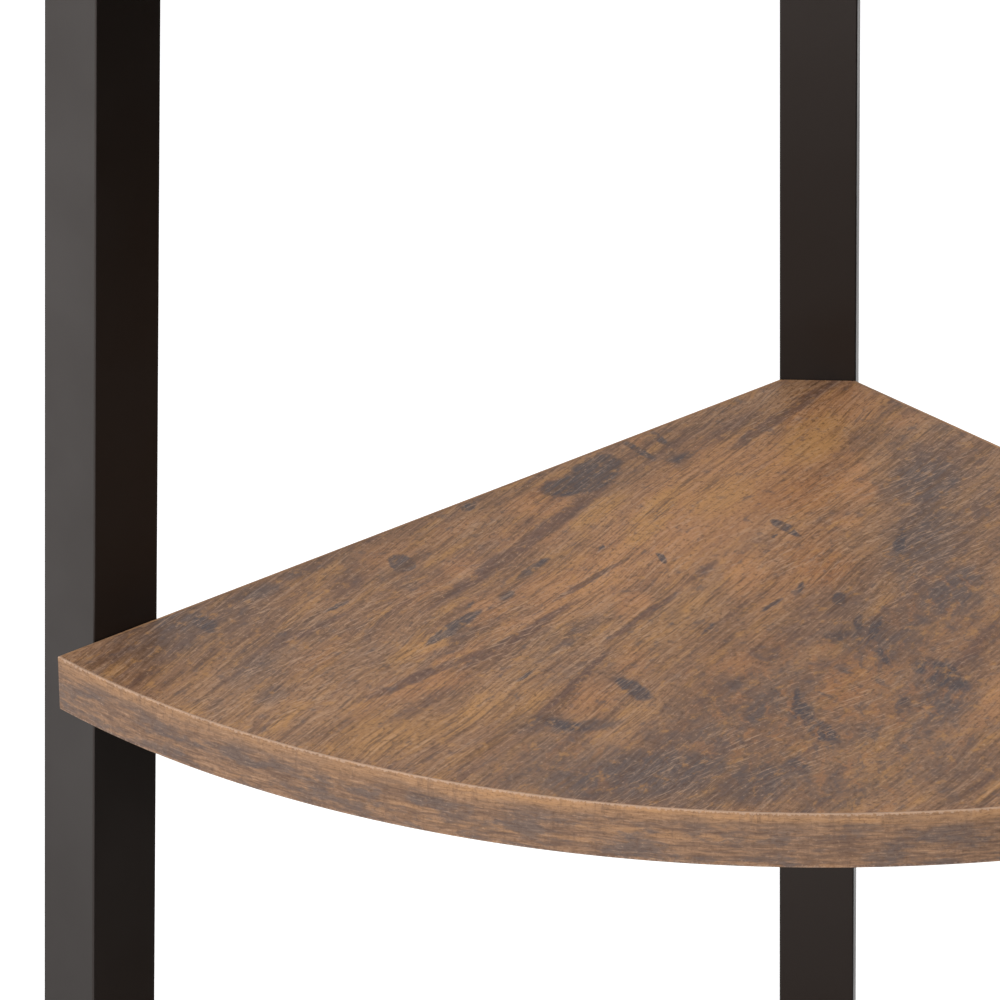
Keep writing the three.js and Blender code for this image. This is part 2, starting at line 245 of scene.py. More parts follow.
# %% Floor, world and lamps
WHITE = (1, 1, 1, 1)
FLOOR_REACH = 30.0
FLOOR_GLOW = 0.66
FLOOR_WHITE = (0.8, 0.8, 0.8, 1)
FLOOR_FOR_LIGHT = (0.45, 0.44, 0.43, 1)
WORLD_LIGHT = 0.42
BLACK_LEVEL = 0.01
GREY_LEVEL = 0.7
CARD_LIFT = 2 * MM
LAMP_TARGET = Vector((0, 0, 0.7))

# Each lamp's place, width and power
LAMPS = {"key_lamp": ((-1.9, -2.0, 2.2), 1.8, 82), "front_lamp": ((0.9, -2.9, 1.7), 1.6, 22)}

# Each card's first corner, its two sides and its level
CARDS = {
    "dark_card": ((0.62, -1.4, 0), (0, 2, 0), (0, 0, 2.2), BLACK_LEVEL),
    "dark_floor_card": ((0.3, -1, CARD_LIFT), (0.32, 0, 0), (0, 1.6, 0), BLACK_LEVEL),
    "grey_floor_card": ((-1, -0.6, CARD_LIFT), (0.75, 0, 0), (0, 1.5, 0), GREY_LEVEL),
}


def seen_directly(tree):
    """1 for the camera and for what shows in a reflection or through glass, 0 for light."""
    path = tree.node("ShaderNodeLightPath").outputs
    glossy = tree.math("MAXIMUM", path["Is Glossy Ray"], path["Is Transmission Ray"])
    return tree.math("MAXIMUM", path["Is Camera Ray"], glossy)


def flat_sheet(name, corner, side, other_side):
    """A rectangle with a material of its own. Returns it with its tree and the tree's end."""
    start, way, other_way = Vector(corner), Vector(side), Vector(other_side)
    corners = [start, start + way, start + way + other_way, start + other_way]
    mesh = bpy.data.meshes.new(name)
    mesh.from_pydata(corners, [], [(0, 1, 2, 3)])
    material, tree = new_material(name)[:2]
    mesh.materials.append(material)
    return in_scene(name, mesh), tree, material.node_tree.nodes["Material Output"]


def studio_floor():
    across, along = (2 * FLOOR_REACH, 0, 0), (0, 2 * FLOOR_REACH, 0)
    corner = (-FLOOR_REACH, -FLOOR_REACH, 0)
    floor, tree, ending = flat_sheet("studio_floor", corner, across, along)
    glow = tree("ShaderNodeEmission", (WHITE, FLOOR_GLOW))
    paint = tree("ShaderNodeBsdfDiffuse", (FLOOR_WHITE,))
    shown = tree("ShaderNodeAddShader", (glow, paint))
    for_light = tree("ShaderNodeBsdfDiffuse", (FLOOR_FOR_LIGHT,))
    mixed = tree("ShaderNodeMixShader", (seen_directly(tree), for_light, shown))
    tree.feed(ending, {"Surface": mixed})


def studio_world():
    world = bpy.data.worlds.new("studio_world")
    world.use_nodes = True
    bpy.context.scene.world = world
    tree = Tree(world.node_tree)
    strength = tree.ranged(seen_directly(tree), 0, 1, WORLD_LIGHT, 1.0)
    tree.feed(world.node_tree.nodes["Background"], {"Color": WHITE, "Strength": strength})


def soft_lamp(name, place, width, power):
    """A square lamp that looks at the middle of the unit."""
    data = bpy.data.lights.new(name, "AREA")
    data.size, data.energy = width, power
    lamp = in_scene(name, data)
    lamp.location = place
    lamp.rotation_euler = (LAMP_TARGET - Vector(place)).to_track_quat("-Z", "Y").to_euler()


def reflected_card(name, corner, side, other_side, level):
    """Shows in reflections only. Its level goes from 0 for black to 1 for white."""
    card, tree, ending = flat_sheet(name, corner, side, other_side)
    tree.feed(ending, {"Surface": tree("ShaderNodeEmission", (WHITE, level))})
    card.visible_camera = False
    card.visible_diffuse = False
    card.visible_shadow = False


studio_floor()
studio_world()
for name, details in LAMPS.items():
    soft_lamp(name, *details)
for name, details in CARDS.items():
    reflected_card(name, *details)
bpy.context.scene.view_settings.view_transform = "Standard"
print("lamps:", len(LAMPS), "cards:", len(CARDS))

# %% [markdown]
# ## Turning a node tree into a plain mesh
#
# The boards and the tubes follow rules, so Geometry Nodes make them: the sizes are inputs, and one
# tree serves every board or post. A finished piece must be a plain mesh. So the tree is run once on
# an empty object, together with any bevel that rounds its edges, and the result is copied out.

# %% Run a tree and keep its mesh
FLOAT, VECTOR, WHOLE = "NodeSocketFloat", "NodeSocketVector", "NodeSocketInt"
GEOMETRY, MATERIAL, OBJECT = "NodeSocketGeometry", "NodeSocketMaterial", "NodeSocketObject"
BEVEL_ANGLE = math.radians(40)
SHARP_ANGLE = math.radians(35)


def new_tree(name, inputs, result=("Geometry", GEOMETRY)):
    """A node group with one result. Its inputs are given as a tuple of titles for each kind.
    Returns its helper, the input sockets by title and the output node."""
    group = bpy.data.node_groups.new(name, "GeometryNodeTree")
    kinds = {title: kind for kind, titles in inputs.items() for title in titles}
    for title, kind in kinds.items():
        group.interface.new_socket(name=title, in_out="INPUT", socket_type=kind)
    group.interface.new_socket(name=result[0], in_out="OUTPUT", socket_type=result[1])
    tree = Tree(group)
    sockets = tree.node("NodeGroupInput").outputs
    return tree, {title: sockets[title] for title in kinds}, tree.node("NodeGroupOutput")


def use_group(tree, group, feeds):
    """Places a node group inside another tree."""
    return tree("GeometryNodeGroup", feeds, node_tree=group.tree)


def finish_tree(tree, ending, geometry, material):
    """Ends a tree with real geometry and its finish."""
    real = tree("GeometryNodeRealizeInstances", (geometry,))
    tree.feed(ending, (tree("GeometryNodeSetMaterial", {"Geometry": real, "Material": material}),))


def plain(piece):
    """Replaces an object's mesh by the evaluated one and drops the modifiers."""
    graph = bpy.context.evaluated_depsgraph_get()
    mesh = bpy.data.meshes.new_from_object(piece.evaluated_get(graph), depsgraph=graph)
    mesh.name = piece.name
    piece.modifiers.clear()
    piece.data = mesh
    return piece


def rounded(piece, bevel, steps):
    """Rounds the edges between faces that meet at a large angle, and keeps the plain mesh."""
    if bevel:
        edge = piece.modifiers.new("edge", "BEVEL")
        edge.width, edge.segments = bevel, steps
        edge.limit_method, edge.angle_limit = "ANGLE", BEVEL_ANGLE
    return plain(piece)


def made_by(name, tree, sizes, bevel=0.0, steps=2):
    """Runs a tree on an empty object and returns the object with the plain mesh it made."""
    piece = in_scene(name, bpy.data.meshes.new(name))
    modifier = piece.modifiers.new("shape", "NODES")
    modifier.node_group = tree.tree
    for item in tree.tree.interface.items_tree:
        if item.in_out == "INPUT":
            modifier[item.identifier] = sizes[item.name]
    return rounded(piece, bevel, steps)


def smooth(piece):
    """Smooth shading that stays crisp where faces meet at a large angle."""
    piece.data.shade_smooth()
    piece.data.set_sharp_from_angle(angle=SHARP_ANGLE)
    weighted = piece.modifiers.new("normals", "WEIGHTED_NORMAL")
    weighted.keep_sharp = True
    return plain(piece)


def kept(piece, body, slot, *nodes):
    """Fixes a finished piece to its body, hides the solids it stands for and compares their boxes."""
    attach(piece, body)
    boxes = [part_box(node) for node in nodes]
    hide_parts(*nodes)
    off = 0.0
    for axis in range(3):
        places = [vertex.co[axis] for vertex in piece.data.vertices]
        below = min(places) - min(low[axis] for low, high in boxes)
        above = max(places) - max(high[axis] for low, high in boxes)
        off = max(off, abs(below), abs(above))
    print(piece.name, len(piece.data.polygons), "faces,", round(off / MM, 2), "mm off the solids' box")

# %% [markdown]
# ## The wood print
#
# The boards are particle board under a printed paper, so the "wood" is a picture of old, stained
# planks: brown ground, a grain that runs at an angle to the front, smoky bands along the grain,
# golden patches, and dark marks like nail holes and bruises. A picture of wood could be painted,
# but noise does it better here, because it has no edges and no repeat. Stretched noise makes the
# grain, and soft ellipses, roughened by noise, make the patches and marks that the photograph
# shows, each where it is. They are listed in millimetres, to the right of the room's corner and
# forward from it, as seen from above. Some lists are whole regions: lighter or duskier ones, knotty
# ones where veins take the place of the straight grain, calm ones with fainter fibres, and sawn
# ones that are scratched across.

# %% Where the print's patches lie
GRAIN_TURN = math.radians(26)

Spot = namedtuple("Spot", "right forward half_width half_length turn strength")


def listed(*rows):
    return [Spot(*row) for row in rows]


DARK_MARKS = listed(
    (-68, 86, 6.4, 12, 14, 1.3), (-75, 96, 6, 9, 55, 1.2), (-124.7, 155, 3.4, 6, -20, 1.3),
    (13.3, 173.7, 1.8, 4.6, -10, 0.9), (-46.7, 238.3, 2.8, 8, -36, 1.0),
    (5, 252, 3, 7, -20, 1.0), (11, 263, 3.4, 7, -30, 1.1), (-41, 73, 2.2, 6, 38, 0.5),
    (14, 200, 3.6, 7, 62, 0.5),
    (46, 224, 5, 12, -36, 0.85), (-181.3, 200, 3, 6, -30, 0.8), (-106.7, 113, 2, 4, 20, 0.7),
    (-66, 262.7, 3.2, 9, -65, 0.6), (-8.7, 130.3, 0.8, 1.8, 20, 0.9), (5.3, 286, 4, 7, -20, 0.5),
    (-101, 183, 0.9, 2.5, 25, 0.6), (-63, 141, 0.7, 1.8, 0, 0.6), (92, 150, 4, 9, 20, 0.8),
    (128, 190, 2.2, 9, 30, 0.8), (150, 176, 6, 10, -30, 0.7), (96, 250, 2.4, 8, -40, 0.8),
)
THIN_MARKS = listed(
    (-55, 69, 1.7, 9, -38, 0.9), (-49, 60, 1.5, 6, -29, 0.8), (-83.3, 156.7, 1.7, 8.5, 28, 1.0),
    (-90, 175.7, 1.8, 4, 25, 0.9), (-104.7, 199.3, 2.1, 14, 30, 1.3), (-43.3, 147.7, 1.1, 4, -25, 1.0),
    (-5.7, 123.7, 1.8, 7.4, -35, 1.3), (-7.5, 178.5, 1.1, 6, 35, 0.8), (0.6, 166, 1, 4, 5, 0.7),
    (-26, 196, 0.9, 5, 20, 0.7), (20, 190, 1.4, 6, 4, 0.8), (25, 194, 1.6, 9, 10, 1.0),
    (31, 132, 1.8, 11, 0, 0.7), (3, 242, 1, 8, 0, 0.7), (29, 214, 1.2, 7, -20, 0.7),
    (-80, 231, 1, 5, 30, 0.7), (-142, 186, 1.2, 6, 36, 0.7), (36, 243, 2, 3, 0, 0.9),
)
SMOKE = listed(
    (-37, 293, 16, 26, 70, 0.9), (-6, 297, 13, 16, 40, 0.7), (37, 133, 13, 34, 5, 0.75),
    (50, 167, 10, 20, 10, 0.8), (35, 87, 12, 22, 20, 0.8), (27, 202, 16, 17, 30, 0.7),
    (-167.7, 177.7, 5, 11, 45, 0.7), (-157, 163, 4, 8, 45, 0.6), (-163, 232, 13, 20, 30, 0.45),
    (46, 240, 13, 20, -20, 0.7), (-190, 199, 8, 12, 40, 0.8), (-74, 262, 8, 12, 60, 0.6),
    (-43, 75, 3.4, 9, -22, 0.5), (86, 120, 14, 30, 26, 0.7), (132, 236, 16, 26, 50, 0.6),
    (176, 196, 10, 22, -30, 0.6), (40, 92, 8, 16, 22, 1.0), (33, 131, 5, 13, 16, 1.0),
    (48, 163, 7, 17, 25, 1.0), (44, 76, 4, 13, -38, 0.6), (49, 243, 6, 11, -20, 0.9),
    (-8, 250, 4, 18, 12, 0.7), (-60, 264, 4, 13, 72, 0.9), (-157, 247, 6, 9, 10, 0.6),
    (-198, 214, 16, 26, 40, 0.4), (-58, 298, 12, 16, 60, 0.7), (-22, 268, 7, 14, 30, 0.5),
)
DUSK = listed(
    (-36, 296, 26, 60, 84, 1.3), (20, 268, 20, 16, 0, 0.7), (42, 120, 22, 84, 6, 0.75),
    (10, 184, 18, 26, 26, 1.1), (-4, 240, 24, 34, 10, 0.8), (-182, 204, 22, 36, 40, 0.8),
    (-155, 215, 14, 30, 30, 0.6), (-104, 212, 5, 50, 33, 0.9), (-72, 212, 5, 34, 30, 0.8),
    (150, 236, 26, 44, 40, 0.8), (96, 190, 16, 70, 26, 0.7), (46, 286, 20, 22, 0, 0.8),
    (14, 302, 34, 14, 90, 1.0), (-16, 276, 22, 16, 0, 0.7), (-60, 292, 24, 16, 60, 0.6),
    (22, 300, 18, 14, 0, 0.9), (-70, 283, 16, 14, 60, 0.8), (4, 194, 12, 14, 0, 0.9),
    (12, 228, 10, 14, 0, 0.7), (38, 182, 14, 18, 0, 0.8), (42, 262, 12, 13, 0, 1.0),
    (32, 64, 9, 14, 0, 0.9), (-32, 264, 30, 12, 90, 0.7), (-116, 264, 16, 14, 60, 0.4),
    (-78, 204, 8, 12, 0, 0.7), (-130, 216, 14, 14, 0, 0.5),
)
KNOTTY = listed(
    (14, 252, 62, 66, 0, 1.0), (48, 186, 26, 50, 0, 0.8), (-60, 290, 30, 40, 60, 0.6),
    (140, 230, 40, 60, 20, 0.8), (20, 306, 60, 22, 90, 0.8),
)
CALM = listed((-22, 128, 13, 46, 14, 1.2), (-36, 118, 9, 22, 20, 0.9), (0, 56, 12, 20, 20, 0.8))
LIGHT = listed(
    (-32, 108, 30, 78, 24, 1.0), (6, 40, 14, 34, 20, 1.0), (-60, 158, 18, 44, 30, 0.8),
    (-110, 234, 12, 34, 38, 0.8), (-62, 246, 10, 18, 20, 0.7), (-128, 150, 10, 20, 38, 0.5),
    (120, 170, 16, 60, 28, 0.8), (70, 232, 12, 40, 26, 0.7), (-8, 72, 20, 28, 10, 0.9),
    (-76, 172, 14, 56, 30, 0.7), (-4, 136, 14, 26, 20, 0.6), (-108, 128, 9, 22, 40, 0.5),
    (0, 170, 16, 44, 0, 0.6), (-84, 134, 22, 16, 0, 0.5), (-2, 96, 18, 30, 0, 0.5),
    (-84, 112, 15, 13, 0, 0.9), (-48, 180, 9, 14, 0, 1.1), (-18, 156, 10, 26, 0, 0.9),
    (12, 86, 8, 26, 0, 1.0), (12, 116, 7, 10, 0, 0.7), (-94, 192, 10, 18, 0, 0.9),
    (-106, 156, 9, 12, 0, 0.8), (-108, 216, 9, 10, 0, 0.8), (-18, 216, 9, 10, 0, 0.6),
    (4, 26, 16, 12, 0, 0.8), (28, 40, 9, 8, 0, 0.6), (-48, 218, 8, 12, 0, 0.7),
)
MAUVE = listed(
    (-85, 135, 3.2, 50, 27.8, 1.0), (-85, 205, 2.2, 30, 33, 0.9), (-110, 231, 2.4, 28, 44, 0.9),
    (-65, 235, 1.5, 24, 23, 1.0), (-10, 40, 2.8, 30, 31, 1.0), (-26, 50, 4, 18, 30, 0.5),
    (-139, 171, 5, 12, 30, 0.4), (-64, 163, 1.3, 19, 33, 0.9), (-30, 157, 2, 9, 30, 0.7),
    (-47, 189, 1.7, 20, 30, 0.9), (-128, 128, 2, 24, 38, 0.6), (-150, 205, 2, 20, 38, 0.7),
    (64, 190, 3, 40, 26, 0.9), (110, 160, 2.4, 44, 29, 0.9), (82, 262, 2.4, 26, 33, 0.8),
    (160, 214, 3, 26, 24, 0.8),
)
GOLD = listed(
    (0.7, 57, 11, 22, 15, 0.9), (-65.7, 115, 4, 18, 25, 1.0), (-46.7, 110, 5, 24, 22, 0.9),
    (-48.7, 128, 4, 14, 28, 1.0), (-27, 102, 12, 22, 25, 0.6), (-118, 274, 13, 24, 50, 0.6),
    (-113, 212, 4, 20, 35, 0.7), (-40, 196, 18, 30, 26, 0.35), (30, 292, 9, 12, 0, 0.35),
    (-86, 250, 10, 26, 40, 0.4), (84, 216, 9, 26, 26, 0.7), (140, 208, 8, 24, 30, 0.6),
)
ORANGE = listed(
    (-1.7, 100, 14, 22, 30, 0.9), (7, 150, 11, 17, -10, 0.9), (-56.7, 61.7, 4, 6, 0, 0.8),
    (-84, 100, 4, 11, 20, 0.9), (20, 222, 12, 12, 0, 0.5), (-115, 176, 7, 16, 30, 0.5),
    (-146, 222, 9, 20, 38, 0.4), (17, 236, 9, 14, 20, 0.9), (120, 184, 8, 18, 26, 0.7),
)
SAWN = listed(
    (40, 120, 30, 75, 8, 1.0), (2, 128, 20, 56, 6, 0.8), (-120, 190, 40, 60, 40, 0.5),
    (20, 250, 34, 40, 0, 0.7),
)
SPOT_LISTS = (DARK_MARKS, THIN_MARKS, SMOKE, DUSK, CALM, LIGHT, KNOTTY, MAUVE, GOLD, ORANGE, SAWN)
print("spots in the print:", sum(len(spots) for spots in SPOT_LISTS))

# %% [markdown]
# One spot is a turned ellipse. Two dot products say how far a point is from its middle, once across
# and once along, with its half width and half length as the units. The sum of their squares is one
# on the rim, whatever the ellipse, so a straight line from it gives a mask that falls towards the
# rim, and a list of spots keeps the strongest. A Mapping node could do this too, but Cycles has room
# for only so many vectors at once, and a material with a hundred of them turns black.

# %% Masks for lists of spots
def spots_mask(tree, place, spots, core):
    """A higher core makes the spots fuller and their rims steeper."""
    mask = 0.0
    for spot in spots:
        cosine, sine = math.cos(math.radians(spot.turn)), math.sin(math.radians(spot.turn))
        width, length = spot.half_width, spot.half_length
        away = tree.vector("SUBTRACT", place, (spot.right, spot.forward, 0))
        across = tree.dot(away, (cosine / width, sine / width, 0))
        along = tree.dot(away, (-sine / length, cosine / length, 0))
        square = tree.math("MULTIPLY_ADD", across, across, tree.times(along, along))
        falling = tree.math("MULTIPLY_ADD", square, -spot.strength, core * spot.strength)
        mask = tree.math("MAXIMUM", mask, falling)
    return tree.ranged(mask, 0, 1)

# %% [markdown]
# The whole print is layered from the broadest tone to the finest fibre. Each board carries its own
# place on the print in an attribute, so no two boards show the same figure, as when boards are cut
# from one long sheet. The paper is pressed with a shallow grain, which the bump follows, and its
# lacquer is satin: a little rougher where the fibres are pale.

# %% Build the print
GROUND = colour(156, 118, 88)
GROUND_DARK = colour(122, 88, 68)
GROUND_LIGHT = colour(184, 140, 102)
GOLD_TONE = colour(190, 140, 86)
ORANGE_TONE = colour(168, 114, 71)
MAUVE_TONE = colour(98, 73, 66)
SMOKE_TONE = colour(92, 81, 80)
MARK_TONE = colour(70, 67, 73)
DUSK_TONE = colour(98, 82, 77)
LIGHT_TONE = colour(206, 146, 96)
PATCH_TONE = colour(172, 120, 80)
FIBRE_DARK = colour(84, 58, 40)
FIBRE_PALE = colour(202, 166, 136)
CROSSING_TURN = math.radians(44)
VEIN_TURN = math.radians(4)
FIBRE_TONES = (FIBRE_DARK, FIBRE_PALE)
GROUND_SHARE = 0.55
SPOT_CORE = 1.3
REGION_CORE = 1.1
PAPER_GLOSS = 0.28


def bent(tree, place, size, reach):
    """Moves each point by noise, so that lines through it wander. Size and reach in millimetres."""
    wander = tree.noise(tree.placed(place, stretch=(1 / size, 1 / size, 1)), 2, output="Color")
    centred = tree.vector("SUBTRACT", wander, (0.5, 0.5, 0.5))
    return tree.vector("MULTIPLY_ADD", centred, (reach, reach, 0), place)


def sized_noise(tree, place, move, across, along, detail, roughness=0.5):
    """Noise whose features are this wide and this long, in millimetres."""
    return tree.noise(tree.placed(place, move, stretch=(1 / across, 1 / along, 1)), detail, roughness)


def grain_noise(tree, grain, across, along, layer, detail=4.0, roughness=0.55):
    """Noise stretched along the grain. Another layer gives another figure."""
    return sized_noise(tree, grain, (layer,) * 3, across, along, detail, roughness)


def tinted(tree, ground, tone, mask, most):
    """Lays a tone over the ground where the mask is, up to the share given by most."""
    return tree.blend(tree.times(mask, most), ground, tone)


def two_toned(tree, ground, noise, tones, first, second, mask=None):
    """Lays one tone in a first range of the noise and the other in a second range.
    A range is its start, its end and the share that the tone reaches."""
    for tone, (start, end, most) in zip(tones, (first, second)):
        share = tree.ranged(noise, start, end)
        if mask is not None:
            share = tree.times(share, mask)
        ground = tinted(tree, ground, tone, share, most)
    return ground


def wood_print():
    material, tree, skin = new_material("wood_print")
    place = tree("ShaderNodeAttribute", output="Vector", attribute_name="print_mm")

    # Noise bends every line a little, so that no band or fibre runs quite straight.
    swayed = bent(tree, place, 90, 12)
    ragged = bent(tree, bent(tree, place, 10, 7), 2.6, 2.6)
    narrow = bent(tree, bent(tree, place, 16, 4), 2.2, 1.4)
    torn = bent(tree, bent(tree, place, 8, 4), 2.4, 2.6)
    regions = bent(tree, ragged, 30, 22)
    grain = tree.placed(bent(tree, swayed, 12, 0.8), turn=(0, 0, -GRAIN_TURN))

    # Broad tones first: lighter and darker planks, then golden, mauve and smoky drifts.
    broad = grain_noise(tree, grain, 22, 90, 1.3, 2)
    tone = tree.blend(tree.ranged(broad, 0.36, 0.64), GROUND_DARK, GROUND_LIGHT)
    tone = tree.blend(GROUND_SHARE, tone, GROUND)
    drift = grain_noise(tree, grain, 8, 50, 8.1)
    tone = tinted(tree, tone, GOLD_TONE, tree.ranged(drift, 0.5, 0.68), 0.7)
    bands = grain_noise(tree, grain, 3.6, 46, 3.7, 5, 0.62)
    tone = tinted(tree, tone, MAUVE_TONE, tree.ranged(bands, 0.51, 0.67), 0.6)
    smoke = sized_noise(tree, ragged, (5.2, 1.1, 4), 26, 36, 6, 0.64)
    tone = tinted(tree, tone, SMOKE_TONE, tree.ranged(smoke, 0.55, 0.69), 0.5)

    # Whole regions of the photographed print are lighter or duskier.
    tone = tinted(tree, tone, LIGHT_TONE, spots_mask(tree, regions, LIGHT, REGION_CORE), 0.5)
    tone = tinted(tree, tone, DUSK_TONE, spots_mask(tree, regions, DUSK, REGION_CORE), 0.56)

    # The photographed patches. Streaks along the grain break up their rims.
    streaks = grain_noise(tree, grain, 1.6, 32, 6.4, 5, 0.64)
    for spots, shade, most, way, core, least in (
        (GOLD, GOLD_TONE, 0.9, ragged, SPOT_CORE, 0.5),
        (ORANGE, ORANGE_TONE, 0.7, ragged, 1.2, 0.4),
        (SMOKE, SMOKE_TONE, 0.9, torn, SPOT_CORE, 0.5),
        (MAUVE, MAUVE_TONE, 0.85, narrow, 1.6, 0.7),
        (DARK_MARKS, MARK_TONE, 0.94, torn, 1.75, 0.55),
        (THIN_MARKS, MARK_TONE, 0.94, narrow, 1.6, 0.6),
    ):
        broken = tree.ranged(streaks, 0.36, 0.58, least, 1)
        mask = tree.times(spots_mask(tree, way, spots, core), broken)
        tone = tinted(tree, tone, shade, mask, most)

    # Towards the front and the right the wood is knotty, with veins and patches.
    knotty = spots_mask(tree, regions, KNOTTY, REGION_CORE)
    veined = tree.placed(bent(tree, ragged, 12, 9), (7, 3, 0), (0, 0, -VEIN_TURN), (1 / 3.4, 1 / 11, 1))
    veins = tree.noise(veined, 5, 0.62)
    tones = (SMOKE_TONE, PATCH_TONE)
    tone = two_toned(tree, tone, veins, tones, (0.51, 0.66, 0.7), (0.49, 0.34, 0.6), knotty)

    # Streaks and fibres, dark and pale, fainter where the wood is knotty or calm
    calm = spots_mask(tree, regions, CALM, REGION_CORE)
    less_knotty = tree.math("MULTIPLY_ADD", knotty, -0.6, 1.0)
    usual = tree.times(less_knotty, tree.math("MULTIPLY_ADD", calm, -0.5, 1.0))
    fibres = grain_noise(tree, grain, 0.8, 18, 2.9, 4, 0.68)
    for noise, dark, pale in (
        (streaks, (0.5, 0.35, 0.46), (0.54, 0.69, 0.34)),
        (fibres, (0.5, 0.35, 0.6), (0.54, 0.7, 0.44)),
    ):
        tone = two_toned(tree, tone, noise, FIBRE_TONES, dark, pale, usual)

    # The pale scratches of a saw cross the fibres at a wider angle, in some places only.
    crossing = tree.placed(bent(tree, swayed, 30, 2), turn=(0, 0, -CROSSING_TURN))
    scratches = grain_noise(tree, crossing, 0.7, 8, 9.6, 3, 0.6)
    chance = tree.ranged(sized_noise(tree, place, (3, 7, 2), 60, 60, 2), 0.46, 0.62)
    where = tree.math("MAXIMUM", chance, spots_mask(tree, ragged, SAWN, SPOT_CORE))
    pale = tree.times(tree.ranged(scratches, 0.54, 0.68), where)
    tone = tinted(tree, tone, FIBRE_PALE, pale, 0.52)

    # A fine mottle, like the pores of the paper and of the printed wood
    mottle = sized_noise(tree, grain, (2, 9, 1), 1.5, 2.2, 4, 0.75)
    tone = two_toned(tree, tone, mottle, FIBRE_TONES, (0.49, 0.33, 0.66), (0.55, 0.7, 0.5))
    blotches = sized_noise(tree, grain, (6, 1, 4), 4, 7, 5, 0.7)
    tones = (SMOKE_TONE, GOLD_TONE)
    tone = two_toned(tree, tone, blotches, tones, (0.54, 0.7, 0.6), (0.46, 0.32, 0.52))

    skin.inputs["Specular IOR Level"].default_value = PAPER_GLOSS
    relief = tree.plus(fibres, tree.times(scratches, 0.5))
    dressed(tree, skin, tone, tree.ranged(fibres, 0.3, 0.7, 0.5, 0.64), relief, 0.4, 0.06)
    return material


print_finish = wood_print()
print("nodes in the print:", len(print_finish.node_tree.nodes))

# %% [markdown]
# ## The edging's print
#
# A board's sawn edge is covered by a thin plastic strip with a print of its own. Its grain runs
# along the strip, its colour is a little lighter and yellower near the top, and it has short grey
# smudges. The strip is trimmed flush with a cutter, which leaves its rim pale and slightly
# serrated. The fine light line along the board's edge is that pale rim together with a painted
# highlight, where the edge catches the light. The print follows the strip, so its coordinates
# are the way along it and the depth below the board's top.

# %% Build the edging's print
EDGE_GROUND = colour(152, 118, 92)
EDGE_DARK = colour(108, 84, 70)
EDGE_GOLD = colour(186, 141, 100)
EDGE_SMOKE = colour(98, 86, 82)
EDGE_MARK = colour(82, 72, 70)
# The pale trimmed rim, with a painted highlight of the edge laid into its colour
PALE_RIM_AND_HIGHLIGHT = colour(196, 166, 144)
BOARD_THICKNESS_MM = tiers[0].thickness / MM
RIM_WIDTH_MM = 0.42
BRUISE_CELL_MM = (46, 11)


